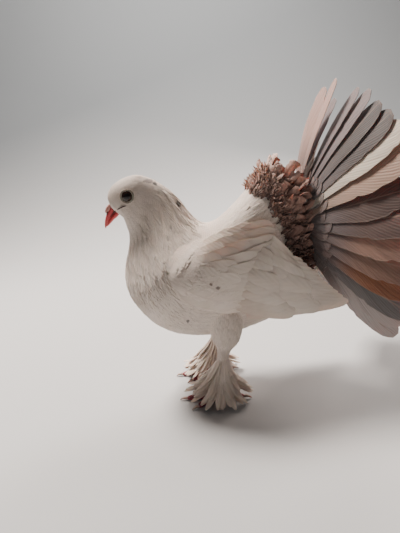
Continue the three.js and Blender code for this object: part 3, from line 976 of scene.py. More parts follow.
@dataclass
class Body:
    """The bird's skin and its small feathers; sizes in millimetres, places along the body's stations."""

    leg_line: tuple[tuple[float, float, float], ...] = (
        (15, 18, 94), (19, 18, 74), (21, 17, 57), (22, 14, 44), (FOOT_SPREAD, 11, 27), (FOOT_SPREAD, 9, 7.4))
    leg_radii: tuple[float, ...] = (14.0, 15.5, 13.0, 6.6, 5.6, 6.0)
    leg_slope_depth: float = 1.2
    voxel: float = 1.6
    furrows: int = 22
    fade_in: float = 1.2
    fade_out: float = 2.0
    thin_out: float = 1.8
    underside: float = 118.0

    def __post_init__(self) -> None:
        """Makes the blade that its coat is laid with."""
        self.blade = Template.build(2, 2)
        self.rng = np.random.default_rng(11)

    def line_of(self, side: str) -> Floats:
        """Gives a leg's middle line.

        Args:
            side: left or right.

        Returns:
            The points, from the thigh down to the ankle.
        """
        line = np.array(self.leg_line, float)
        line[:, 1] += (ANKLE[side] - ANKLE["left"]) * down_leg(line[:, 2])
        line[:, 0] *= 1 if side == "left" else -1
        return line

    def skin(self) -> None:
        """Builds one closed skin for head, neck, torso, tail root and legs."""
        bm = bmesh.new()
        wrap_loft(bm, BODY, 0.0, TORSO_END, -COAT_DEPTH, 150, 72, cap=0.012)
        for side in SIDES:
            radii = [r - COAT_DEPTH for r in self.leg_radii]
            add_tube(bm, self.line_of(side), radii, 40, 28)
        piece = object_from("skin", bm)
        remesh = piece.modifiers.new("join", "REMESH")
        remesh.mode = "VOXEL"
        remesh.voxel_size = self.voxel * MM
        smooth = piece.modifiers.new("smooth", "SMOOTH")
        smooth.iterations = 4
        self.apply(piece)
        for face in piece.data.polygons:
            face.use_smooth = True
        # The new Blade map is empty, so the whole skin takes the painted root and edge shade.
        piece.data.uv_layers.new(name="Blade")
        register(piece, Finish.WHITE, ("head", "neck", "torso", "leg_left", "leg_right"))

    @staticmethod
    def apply(piece: bpy.types.Object) -> None:
        """Turns a piece's modifiers into its mesh.

        Args:
            piece: the piece.
        """
        graph = bpy.context.evaluated_depsgraph_get()
        mesh = bpy.data.meshes.new_from_object(piece.evaluated_get(graph))
        piece.modifiers.clear()
        piece.data = mesh

    def coat(self) -> None:
        """Lays every bed of small feathers."""
        x = BODY.half_at(*EYE_PLACE)
        eyes = [np.array([x * sign, *EYE_PLACE]) for sign in (1, -1)]
        for bed in BEDS:
            t, a = even_places(bed.count, bed.start, bed.end, bed.seed)
            grown = np.clip((t - bed.start) / self.fade_in, 0, 1)
            fade = grown * np.clip((bed.end - t) / self.fade_out, 0, 1)
            wave = np.sin(self.furrows * a + 1.8 * np.sin(2.3 * t) + 2.2 * np.sin(3 * a)) * fade
            at, lie, normal = BODY.frames(t, a, -ROOT_DEPTH + bed.ridge * wave)
            tip = at + lie * bed.length * 0.8
            near = [np.linalg.norm(end - eye, axis=1) for end in (at, tip) for eye in eyes]
            clear = np.min(near, axis=0) > EYE_RADIUS - 0.3
            share = np.clip((bed.end - t) / self.thin_out + (bed.end > TORSO_END), 0, 1)
            thin = self.rng.uniform(0, 1, len(t)) < share
            keep = clear & thin & ((t < coat_edge(a)) | (np.abs(a) > math.radians(self.underside)))
            roots = np.column_stack([a / math.tau + 0.5, t / CORE_END])
            # how much painted shade each feather takes for lying in a furrow
            furrow = np.clip(-wave, 0, 1) * min(bed.ridge / 0.8, 0.8)
            grow = 0.6 + 0.4 * grown
            self.lay(bed, bed.name, at[keep], lie[keep], normal[keep], roots[keep], furrow[keep], grow[keep])
        for side in SIDES:
            self.leg_coat(side)

    def lay(self, bed: Bed, name: str, at: Floats, lie: Floats, normal: Floats, roots: Floats,
            furrow: Floats, grow: Floats | float = 1.0) -> None:
        """Lays one bed of feathers.

        Args:
            bed: its sizes.
            name: the piece's name.
            at: the root of each feather.
            lie: the way each points.
            normal: the outward way at each.
            roots: where each lies on the unwrapped skin.
            furrow: how deep each lies in a furrow, which the white plumage paints as shade.
            grow: the length of each as a share of the bed's.
        """
        count = len(at)
        stray = self.rng.normal(0, 0.12, count)[:, None]
        lie = unit(lie + np.cross(lie, normal) * stray)
        length = bed.length * self.rng.uniform(0.8, 1.15, count) * grow
        width = bed.width * self.rng.uniform(0.85, 1.15, count)
        lift = bed.lift + self.rng.uniform(-0.02, 0.04, count)
        corners = small_feathers(self.blade, at, lie, normal, length, width, lift)
        tint = self.rng.uniform(0, 1, count)
        piece = Plumes(name, self.blade).build(corners, roots, tint, furrow=furrow)
        register(piece, Finish.WHITE)

    def leg_coat(self, side: str) -> None:
        """Lays the downy feathers of a thigh and shank.

        Args:
            side: left or right.
        """
        share = self.rng.uniform(0, 1, LEG_BED.count) ** 0.8
        a = self.rng.uniform(0, math.tau, LEG_BED.count)
        place = LEG_BED.start + share * (LEG_BED.end - LEG_BED.start)
        at, down, normal = self.around_leg(self.line_of(side), place, a)
        roots = np.column_stack([0.2 + a / math.tau * 0.2, 0.1 + share * 0.3])
        self.lay(LEG_BED, f"{LEG_BED.name}_{side}", at, down, normal, roots, 0 * a)

    def around_leg(self, line: Floats, place: Floats, a: Floats) -> tuple[Floats, Floats, Floats]:
        """Gives points on a leg's surface, with the way down along it and the outward way.

        Args:
            line: the leg's middle line.
            place: places along the line.
            a: angles around it, in radians.

        Returns:
            Points, ways down and outward ways.
        """
        ahead = unit(spline(line, place + 0.05) - spline(line, place - 0.05))
        across = unit(np.cross(ahead, [[0.0, 1.0, 0.0]]))
        normal = across * np.cos(a)[:, None] + np.cross(ahead, across) * np.sin(a)[:, None]
        radii = np.array(self.leg_radii)[:, None]
        at = spline(line, place) + normal * (spline(radii, place) - COAT_DEPTH)
        ends = [spline(line, k) + normal * (spline(radii, k) - self.leg_slope_depth)
                for k in (place + 0.1, place - 0.1)]
        down = unit(ends[0] - ends[1])
        normal = unit(normal - down * np.sum(normal * down, axis=1, keepdims=True))
        return at, down, normal


@dataclass(frozen=True)
class WingStop:
    """The edges of the folded wing on the body, as degrees from the back line, and how far it stands off."""

    place: float
    upper: float
    lower: float
    thick: float


WING_STOPS = (
    WingStop(9.9, 60, 78, 0.4),
    WingStop(10.7, 45, 90, 3.0),
    WingStop(11.8, 40, 100, 5.8),
    WingStop(13.2, 42, 110, 8.0),
    WingStop(14.8, 50, 122, 8.5),
    WingStop(16.2, 58, 125, 7.0),
    WingStop(17.3, 70, 122, 4.5),
)


@dataclass(frozen=True)
class WingTier:
    """A row of wing coverts: where it starts and ends, as place and degrees, and how high its tips lie."""

    count: int
    roots: tuple[tuple[float, float], tuple[float, float]]
    tips: tuple[tuple[float, float], tuple[float, float]]
    width: float
    raised: float


WING_TIERS = (
    WingTier(6, ((11.7, 50), (11.9, 94)), ((13.7, 52), (13.9, 102)), 14.0, -0.3),
    WingTier(7, ((12.6, 48), (12.8, 99)), ((14.7, 54), (15.0, 108)), 13.5, -0.2),
    WingTier(8, ((13.6, 50), (13.8, 103)), ((15.9, 60), (16.3, 113)), 13.5, 0.2),
    WingTier(9, ((14.7, 56), (14.9, 110)), ((16.95, 69), (17.6, 117)), 14.0, 0.6),
)


@dataclass(frozen=True)
class Secondaries:
    """A row of secondaries: where it starts, how far along the flight feathers it ends, how far out."""

    place: float
    share: float
    proud: float


SECONDARIES = (Secondaries(15.9, 0.72, 1.0), Secondaries(15.2, 0.46, 1.8))
Pair = tuple[tuple[float, ...], tuple[float, ...]]


def blend(pair: Pair, k: float) -> Floats:
    """Gives the point a share of the way from the first to the second."""
    return np.array(pair[0]) * (1 - k) + np.array(pair[1]) * k


def bend(root: Floats, middle: Floats, tip: Floats) -> Floats:
    """Draws a shaft of five points through its root, middle and tip."""
    return spline(np.array([root, middle, tip]), np.linspace(0, 2, 5))


@dataclass
class Wing:
    """A folded wing: its padding, rows of coverts, secondaries and primaries; sizes in millimetres."""

    side: str
    rest: float = 0.4
    bow: float = 1.15
    root_depth: float = 1.6
    lesser_count: int = 3300
    lesser_reach: tuple[float, float] = (0.1, 5.6)
    in_row: int = 9
    primary_count: int = 10
    primary_roots: Pair = ((30.0, 44.0, 122.0), (33.0, 34.0, 77.0))
    primary_tips: Pair = ((36.0, 80.0, 116.0), (44.0, 112.0, 87.0))
    primary_bow: float = 3.4
    tilt: float = 0.11

    def __post_init__(self) -> None:
        """Makes the blades."""
        self.turn = np.array([1.0 if self.side == "left" else -1.0, 1.0, 1.0])
        self.rng = np.random.default_rng(31 if self.side == "left" else 32)
        self.blade = Template.build(6, 12)
        self.short = Template.build(2, 3)
        self.stops = np.array([[s.place, s.upper, s.lower, s.thick] for s in WING_STOPS], float)

    def bulge(self, share: Floats) -> Floats:
        """Gives the wing's thickness across it, as a share of the most."""
        return np.sin(math.pi * np.clip(share, 0, 1) ** self.bow) ** self.bow

    def rise(self, t: Floats, degrees: Floats) -> Floats:
        """Finds how far the wing stands off the body.

        Args:
            t: places along the body.
            degrees: angles from the back line.

        Returns:
            The distances in millimetres.
        """
        k = np.interp(t, self.stops[:, 0], np.arange(len(self.stops)))
        v = spline(self.stops, k)
        return self.rest + v[:, 3] * self.bulge((degrees - v[:, 1]) / (v[:, 2] - v[:, 1]))

    def padding(self) -> None:
        """Builds the smooth mass under the feathers."""
        bm = bmesh.new()
        made = bmesh.ops.create_uvsphere(bm, u_segments=48, v_segments=40, radius=1.0)["verts"]
        flat = np.array([v.co for v in made])
        v = spline(self.stops, (1 - flat[:, 2]) / 2 * (len(self.stops) - 1))
        ring = np.sqrt(np.maximum(1 - flat[:, 2] ** 2, 1e-9))
        share = (flat[:, 0] / ring + 1) / 2
        degrees = v[:, 1] + (v[:, 2] - v[:, 1]) * share
        outside = self.rest + v[:, 3] * self.bulge(share) - COAT_DEPTH
        lift = np.where(flat[:, 1] > 0, outside, -3.0)
        p = BODY.points(np.minimum(v[:, 0], TORSO_END), np.radians(degrees), lift)
        place_corners(made, p * self.turn)
        piece = object_from(f"wing_padding_{self.side}", bm)
        # The new Blade map is empty, so the whole padding takes the painted root and edge shade.
        piece.data.uv_layers.new(name="Blade")
        register(piece, Finish.WHITE, (f"wing_{self.side}",))

    def lesser(self) -> None:
        """Lays the small coverts over the shoulder."""
        count = self.lesser_count
        grid = np.linspace(*self.lesser_reach, 60)
        wide = spline(self.stops, grid)
        area = np.cumsum((wide[:, 2] - wide[:, 1]) * np.maximum(np.gradient(wide[:, 0]), 0.01))
        k = np.interp(self.rng.uniform(area[0], area[-1], count), area, grid)
        share = self.rng.uniform(0, 1, count)
        v = spline(self.stops, k)
        t = v[:, 0]
        degrees = v[:, 1] + (v[:, 2] - v[:, 1]) * (0.02 + 0.96 * share)
        at, lie, normal = BODY.frames(t, np.radians(degrees), self.rise(t, degrees) - 1.0)
        step = self.rise(t + 0.1, degrees) - self.rise(t - 0.1, degrees)
        lie = unit(lie + normal * np.clip(step / 2.0, -0.5, 0.5)[:, None])
        length = self.rng.uniform(7.5, 10.0, count) * (0.75 + 0.09 * k)
        width = self.rng.uniform(4.0, 5.0, count)
        lift = 0.075 + self.rng.uniform(-0.02, 0.02, count)
        corners = small_feathers(self.short, at, lie, normal, length, width, lift)
        roots = np.column_stack([0.2 + 0.3 * share, 0.4 + k / 20])
        self.finish("wing_lesser", self.short, corners, roots, PATCH)

    def finish(self, name: str, blade: Template, corners: Floats, roots: Floats, cell: float) -> None:
        """Makes a set of feathers a piece, on the wing's own side of the bird.

        Args:
            name: what the set is.
            blade: its blade.
            corners: the corners of each feather on the left side.
            roots: where each feather's patch lies on the unwrapped skin.
            cell: the size of a feather's patch.
        """
        tint = self.rng.uniform(0, 1, len(corners))
        piece = Plumes(f"{name}_{self.side}", blade).build(corners * self.turn, roots, tint, cell=cell)
        if self.side == "right":
            piece.data.flip_normals()
        register(piece, Finish.WHITE)

    def finish_long(self, name: str, sheaf: Sheaf, camber: float) -> None:
        """Makes a set of long wing feathers a piece.

        Args:
            name: what the set is.
            sheaf: the feathers.
            camber: how far their edges drop.
        """
        roots = patches(len(sheaf.shafts), 8, (0.05, 0.5), (0.1125, 0.05))
        self.finish(name, self.blade, sheaf.corners(self.blade, WING_BLADE, camber, 0.22), roots, 0.04)

    def tiers(self) -> None:
        """Lays the rows of coverts."""
        sheaf = Sheaf()
        u = np.linspace(0, 1, 5)
        for tier in WING_TIERS:
            for k in np.linspace(0, 1, tier.count):
                root = blend(tier.roots, k)
                tip = blend(tier.tips, k)
                tip[0] += 0.09 * self.rng.uniform(-1, 1)
                t = np.minimum(root[0] + (tip[0] - root[0]) * u, TORSO_END)
                degrees = root[1] + (tip[1] - root[1]) * u
                raised = (tier.raised + self.root_depth) * np.sqrt(u) - self.root_depth
                at, lie, normal = BODY.frames(t, np.radians(degrees), self.rise(t, degrees) + raised)
                face = unit(normal[2] + np.cross(lie[2], normal[2]) * 0.02)
                sheaf.add([at], [face], [tier.width * self.rng.uniform(0.93, 1.07)])
        self.finish_long("wing_coverts", sheaf, 0.025)

    def secondaries(self) -> None:
        """Lays the feathers that carry the wing's surface on over the flight feathers."""
        sheaf = Sheaf()
        face = unit(np.array([1.0, 0.1, self.tilt]))
        for row in SECONDARIES:
            for k in np.linspace(0, 1, self.in_row):
                degrees = np.array([60.0 + 52.0 * k])
                t = np.array([row.place - 0.3 * k])
                root = BODY.points(t, np.radians(degrees), self.rise(t, degrees) - self.root_depth)[0]
                far = row.share + 0.04 * self.rng.uniform(-1, 1)
                out = self.primary_bow * (1 - abs(2 * far - 1)) + row.proud
                start = blend(self.primary_roots, k)
                tip = start + (blend(self.primary_tips, k) - start) * far + np.array([out, 0.0, 0.0])
                middle = (root + tip) / 2 + np.array([1.6, 0.0, 0.0])
                sheaf.add([bend(root, middle, tip)], [face], [14.5 * self.rng.uniform(0.94, 1.06)])
        self.finish_long("wing_secondaries", sheaf, 0.05)

    def primaries(self) -> None:
        """Lays the long flight feathers that run out past the body."""
        sheaf = Sheaf()
        face = unit(np.array([1.0, 0.0, self.tilt]))
        for k in np.linspace(0, 1, self.primary_count):
            root = blend(self.primary_roots, k)
            tip = blend(self.primary_tips, k)
            middle = (root + tip) / 2 + np.array([self.primary_bow, 0.0, 1.0])
            sheaf.add([bend(root, middle, tip)], [face], [13.5 - 3.5 * k])
        self.finish_long("wing_primaries", sheaf, 0.03)

    def build(self) -> None:
        """Builds the whole wing."""
        self.padding()
        self.lesser()
        self.tiers()
        self.secondaries()
        self.primaries()


@dataclass(frozen=True)
class Shade:
    """A colour that the fan's feathers take up to an angle from straight up."""

    until: float
    colour: tuple[float, float, float]


FAN_SHADES = (
    Shade(9, (0.33, 0.205, 0.175)),
    Shade(29, (0.125, 0.098, 0.105)),
    Shade(47, (0.032, 0.026, 0.028)),
    Shade(56, (0.46, 0.41, 0.345)),
    Shade(66, (0.29, 0.20, 0.155)),
    Shade(87, (0.062, 0.038, 0.035)),
    Shade(96, (0.24, 0.14, 0.11)),
    Shade(106, (0.19, 0.105, 0.08)),
    Shade(116, (0.17, 0.062, 0.028)),
    Shade(126, (0.09, 0.085, 0.086)),
    Shade(136, (0.36, 0.32, 0.31)),
    Shade(180, (0.30, 0.29, 0.285)),
)


@dataclass(frozen=True)
class FanRow:
    """A row of coverts that follow the fan, ahead of it or, where that is below nothing, behind it."""

    count: int
    start: float
    end: float
    ahead: float
    width: float
    spread: float = 168.0
    shift: float = 3.0
    curl: float = 6.0
    loose: float = 0.12


FRONT_ROW = FanRow(30, 18, 49, 1.6, 12.0, 140.0, 0.8, -1.0, 0.06)
BACK_ROWS = (
    FanRow(30, 14, 60, -4.0, 14.0),
    FanRow(26, 12, 49, -7.0, 13.5),
    FanRow(22, 10, 39, -10.0, 13.0),
    FanRow(19, 7, 30, -13.0, 12.5),
    FanRow(15, 4, 23, -16.0, 11.5),
    FanRow(11, 1, 16, -18.5, 10.5),
    FanRow(7, 0, 10, -20.5, 9.5),
)


@dataclass
class Tail:
    """The upright fan with the coverts over its quills; sizes in millimetres and degrees."""

    pivot: tuple[float, float, float] = (0.0, 82.0, 142.0)
    spread: float = 140.0
    sweep: float = 18.0
    more_sweep: float = 7.0
    crest: float = 10.0
    crest_width: float = 9.0
    tilt: float = 9.0
    count: int = 30
    quill: float = 16.0
    reach: float = 115.5
    width: float = 28.0
    covert_rows: int = 10
    covert_spread: float = 124.0
    row_step: float = 0.30
    down_count: int = 3400
    # painted shade: the colour of the dark between the coverts
    tail_root_shade: tuple[float, float, float] = (0.06, 0.035, 0.03)

    def __post_init__(self) -> None:
        """Makes the blades."""
        self.rng = np.random.default_rng(77)
        self.long = Template.build(10, 26, 0.9)
        self.middling = Template.build(6, 12)
        self.curl = Template.build(4, 8)
        self.short = Template.build(2, 2)

    def jitter(self, *shape: int) -> Floats:
        """Draws numbers from -1 to 1."""
        return self.rng.uniform(-1, 1, shape)

    def direction(self, degrees: Floats, more: Floats | float = 0.0) -> Floats:
        """Gives the way the fan points at an angle from straight up.

        Args:
            degrees: the angles.
            more: added to the sweep back.

        Returns:
            One direction for each angle.
        """
        a = np.radians(degrees)
        crest = self.crest * np.exp(-(degrees / self.crest_width) ** 2)
        b = np.radians(self.sweep + self.more_sweep * (1 - np.cos(a)) / 2 - crest + more)
        return np.column_stack([np.sin(a) * np.cos(b), np.sin(b), np.cos(a) * np.cos(b)])

    def lines(self, degrees: Floats, start: Floats, length: Floats, ahead: Floats,
              curl: Floats) -> tuple[Floats, Floats]:
        """Works out the shafts of a row of the fan.

        Args:
            degrees: the angle of each feather.
            start: where each starts from the fan's middle.
            length: where each ends.
            ahead: how far each lies ahead of the fan.
            curl: how each bends, in degrees.

        Returns:
            The shafts and the ways the upper sides look.
        """
        early = self.direction(degrees, -curl)
        late = self.direction(degrees, curl)
        middle = np.array(self.pivot) - np.array([0, 1, 0]) * ahead[:, None]
        shafts = np.stack([middle + (early * (1 - u) + late * u) * (start + (length - start) * u)[:, None]
                           for u in np.linspace(0, 1, 6)], axis=1)
        a = np.radians(degrees)
        across = np.column_stack([np.cos(a), 0 * a, -np.sin(a)])
        front = unit(np.cross(across, self.direction(degrees)))
        front *= -np.sign(front[:, 1:2])
        tilt = np.radians(self.tilt) * np.clip(degrees / 8, -1, 1)[:, None]
        return shafts, front * np.cos(tilt) - across * np.sin(tilt)

    def hues(self, degrees: Floats) -> Floats:
        """Picks each feather's colour by its angle, with a little chance.

        Args:
            degrees: the angles.

        Returns:
            One colour for each feather.
        """
        picked = []
        for angle in np.abs(degrees):
            shade = next(s for s in FAN_SHADES if angle <= s.until)
            picked.append(np.array(shade.colour) * self.rng.uniform(0.88, 1.14))
        return np.array(picked)

    def ragged(self) -> Floats:
        """Gives the changes of width along one long feather, with two splits in its edge."""
        along = self.long.points[:, 1]
        wave = np.sin(along * self.rng.uniform(20, 34) + self.rng.uniform(0, 6)) * 0.010
        splits = sum(np.exp(-((along - self.rng.uniform(0.5, 0.97)) / 0.012) ** 2) for _ in range(2))
        return 1 + (wave - 0.10 * splits) * np.abs(self.long.points[:, 0]) ** 4

    def fan(self) -> None:
        """Builds the long feathers."""
        count = self.count
        degrees = np.linspace(-self.spread, self.spread, count) + 0.8 * self.jitter(count)
        degrees -= 2.6 * np.sign(degrees) * np.exp(-((np.abs(degrees) - 57) / 9) ** 4)
        length = self.reach + 2.5 * self.jitter(count) - 8.0 * np.exp(-((np.abs(degrees) - 73) / 5) ** 2)
        one = np.ones(count)
        sheaf = Sheaf()
        shafts, looks = self.lines(degrees, self.quill * one, length, 0 * one, 5 * one)
        sheaf.add(shafts, looks, self.width + 0.6 * self.jitter(count))
        ragged = np.array([self.ragged() for _ in range(count)])
        corners = sheaf.corners(self.long, LONG_BLADE, 0.045, 0.35, ragged)
        roots = patches(count, 8, (0.06, 0.1), (0.12, 0.22))
        bare = np.exp(-((np.abs(degrees) - 56) / 8) ** 4)
        dull = 0.85 - 0.75 * bare - 0.4 * np.exp(-(degrees / 18) ** 2)
        tint = self.rng.uniform(0, 1, count)
        piece = Plumes("tail_fan", self.long).build(corners, roots, tint, self.hues(degrees), 0.1, dull)
        register(piece, Finish.TAIL)

    def root_skin(self) -> None:
        """Builds the root of the tail under its coverts, dark as painted shade between them."""
        bm = bmesh.new()
        wrap_loft(bm, BODY, 16.2, 21.6, -1.6, 60, 56, cap=0.03)
        piece = object_from("tail_root", bm)
        # The new Blade map is empty, so the root also takes the painted root shade.
        piece.data.uv_layers.new(name="Blade")
        paint(piece.data, np.tile(self.tail_root_shade, (len(piece.data.vertices), 1)))
        register(piece, Finish.COVERT, ("tail",))

    @staticmethod
    def lit_and_shaded_lumps(degrees: Floats, row: Floats) -> Floats:
        """Gives the soft lumps of painted highlight and painted shade in the coverts, from 0 to 1."""
        return 0.5 + 0.5 * np.sin(degrees * 0.23 + 2.1 * row) * np.cos(1.7 * row + degrees * 0.11 + 0.6)

    @staticmethod
    def covert_hues(degrees: Floats, row: Floats, light: Floats) -> Floats:
        """Colours the coverts: pale pink on top, brown at the sides, lit and shaded in painted lumps and
        darkest, as painted shade, by the white coat.

        Args:
            degrees: the angle of each feather.
            row: how far from the white coat each lies.
            light: how much painted highlight each takes rather than painted shade, from 0 to 1.

        Returns:
            One colour for each feather.
        """
        top = np.exp(-(degrees / 48) ** 2)
        # painted shade: the rows nearest the white coat take the least light
        shaded = np.clip(0.30 + row / 4, 0, 1)
        low = np.clip((np.abs(degrees) - 90) / 30, 0, 1)
        share = (light * (shaded + (1 - shaded) * top) * (1 - 0.55 * low) + 0.25 * top)[:, None]
        # the dark colour is the coverts' brown in painted shade, the lit one the same brown in painted
        # highlight
        lit_brown = np.array([[0.50, 0.29, 0.235]]) + top[:, None] * np.array([[0.16, 0.17, 0.165]])
        return np.array([[0.045, 0.018, 0.015]]) * (1 - share) + lit_brown * share

    def covert_aim(self, degrees: Floats, lie: Floats, row: Floats, stray: float) -> Floats:
        """Gives the way the coverts point, which turns from the body's lie to the fan's row by row.

        Args:
            degrees: the angle of each feather.
            lie: the body's lie at each.
            row: how far from the white coat each lies.
            stray: how far each may point astray.

        Returns:
            One direction for each feather.
        """
        pull = (0.05 + 0.07 * row)[:, None]
        astray = stray * self.rng.normal(0, 1, (len(degrees), 3))
        return unit(lie * (1 - pull) + self.direction(degrees) * pull + astray)

    def covert_row(self, k: int, sheaf: Sheaf) -> Floats:
        """Lays one row of curled coverts.

        Args:
            k: the row's number from the white coat.
            sheaf: the feathers to add to.

        Returns:
            The angle of each.
        """
        count = 38 - 2 * k
        draw = self.rng.uniform
        degrees = np.linspace(-self.covert_spread, self.covert_spread, count) + 3.2 * self.jitter(count)
        a = np.radians(degrees)
        t = np.minimum(coat_edge(a) - 0.12 + self.row_step * k + 0.10 * self.jitter(count), 20.2)
        at, lie, normal = BODY.frames(t, a, -1.0)
        aim = self.covert_aim(degrees, lie, np.full(count, k), 0.16)
        length = (11.0 + 0.9 * k) * draw(0.75, 1.25, count)[:, None]
        length *= 1 - 0.22 * np.exp(-(degrees / 45) ** 4)[:, None]
        flat = 1 - 0.65 * np.exp(-(degrees / 50) ** 4)[:, None]
        bulge = draw(1.0, 3.2, count)[:, None] * (0.4 + 0.6 * flat)
        curl = draw(-1.5, 5.0, count)[:, None] * flat
        turn = np.cross(aim, normal) * draw(-4.0, 4.0, count)[:, None]
        middle = at + aim * length * 0.5 + normal * bulge
        late = at + aim * length * 0.82 + normal * (bulge + curl * 0.45) + turn * 0.35
        tip = at + aim * length * 0.97 + normal * (bulge * 0.7 + curl) + turn
        looks = unit(normal + 0.42 * self.rng.normal(0, 1, (count, 3)))
        widths = (5.6 + 0.20 * k) * draw(0.7, 1.25, count)
        sheaf.add(np.stack([at, middle, late, tip], axis=1), looks, widths)
        return degrees

    def coverts(self) -> None:
        """Builds the curled brown coverts that hide the root of the fan."""
        sheaf = Sheaf()
        angles = [self.covert_row(k, sheaf) for k in range(self.covert_rows)]
        degrees = np.concatenate(angles)
        row = np.repeat(np.arange(float(self.covert_rows)), [len(one) for one in angles])
        # painted highlight and painted shade in soft lumps, varied at random
        light = 0.12 + 0.62 * self.lit_and_shaded_lumps(degrees, row) + self.rng.uniform(-0.14, 0.30, len(row))
        y = self.curl.points[:, 1]
        frayed = [1 + 0.16 * np.sin(y * self.rng.uniform(14, 30) + self.rng.uniform(0, 6)) for _ in row]
        corners = sheaf.corners(self.curl, COVERT_BLADE, 0.22, 0.16, np.array(frayed))
        roots = np.column_stack([degrees / 300 + 0.5, (17 + row * 0.4) / CORE_END])
        tint = self.rng.uniform(0, 1, len(row))
        hues = self.covert_hues(degrees, row, np.clip(light, 0, 1))
        piece = Plumes("tail_coverts", self.curl).build(corners, roots, tint, hues, PATCH * 3)
        register(piece, Finish.COVERT)

    def down(self) -> None:
        """Builds the frizzy tips between the coverts."""
        count = self.down_count
        draw = self.rng.uniform
        degrees = draw(-self.covert_spread, self.covert_spread, count)
        row = draw(0, 9, count)
        a = np.radians(degrees)
        t = np.minimum(coat_edge(a) + self.row_step * row, 20.4)
        at, lie, normal = BODY.frames(t, a, draw(0.2, 2.6, count))
        aim = self.covert_aim(degrees, lie, row, 0.45)
        out = unit(normal + 0.3 * self.rng.normal(0, 1, (count, 3)))
        out = unit(out - aim * np.sum(out * aim, axis=1, keepdims=True))
        length = draw(3.5, 7.5, count)
        width = draw(1.1, 2.2, count)
        corners = small_feathers(self.short, at, aim, out, length, width, draw(0.0, 0.45, count), -0.1)
        # painted highlight and painted shade in soft lumps, varied at random
        light = np.clip(0.2 + 0.62 * self.lit_and_shaded_lumps(degrees, row) + draw(-0.15, 0.35, count), 0, 1)
        roots = np.column_stack([degrees / 300 + 0.5, t / CORE_END])
        hues = self.covert_hues(degrees, row, light)
        piece = Plumes("tail_down", self.short).build(corners, roots, draw(0, 1, count), hues)
        register(piece, Finish.COVERT)

    def follow_fan(self, row: FanRow, sheaf: Sheaf) -> Floats:
        """Lays one row of coverts that follow the fan.

        Args:
            row: its sizes.
            sheaf: the feathers to add to.

        Returns:
            The angle of each.
        """
        degrees = np.linspace(-row.spread, row.spread, row.count) + row.shift * self.jitter(row.count)
        one = np.ones(row.count)
        ends = row.end + 3 * self.jitter(row.count)
        shafts, looks = self.lines(degrees, row.start * one, ends, row.ahead * one, row.curl * one)
        looks = unit(looks * np.sign(row.ahead) + row.loose * self.jitter(row.count, 3))
        sheaf.add(shafts, looks, row.width * self.rng.uniform(0.9, 1.1, row.count))
        return degrees

    def long_coverts(self) -> None:
        """Builds the longer coverts that lie on the feathers of the fan and share their colours."""
        sheaf = Sheaf()
        degrees = self.follow_fan(FRONT_ROW, sheaf)
        top = np.exp(-(degrees / 22) ** 2)[:, None]
        dull = np.array([[0.085, 0.066, 0.070]]) * (1 - top) + np.array([[0.34, 0.21, 0.18]]) * top
        hues = self.hues(degrees) * 0.15 + dull * 0.85
        corners = sheaf.corners(self.middling, LONG_BLADE, 0.05, 0.25)
        roots = patches(len(degrees), 24, (0.03, 0.8), (0.04, 0.03))
        tint = self.rng.uniform(0, 1, len(degrees))
        piece = Plumes("tail_long_coverts", self.middling).build(corners, roots, tint, hues, 0.03)
        register(piece, Finish.TAIL)

    def back_coverts(self) -> None:
        """Builds the pale coverts behind the fan."""
        sheaf = Sheaf()
        for row in BACK_ROWS:
            self.follow_fan(row, sheaf)
        corners = sheaf.corners(self.curl, COVERT_BLADE, 0.06, 0.3)
        roots = patches(len(corners), 24, (0.03, 0.9), (0.04, 0.03))
        tint = self.rng.uniform(0, 1, len(corners))
        piece = Plumes("tail_back_coverts", self.curl).build(corners, roots, tint, cell=0.03)
        register(piece, Finish.WHITE)

    def build(self) -> None:
        """Builds the whole tail."""
        self.root_skin()
        self.fan()
        self.coverts()
        self.down()
        self.long_coverts()
        self.back_coverts()


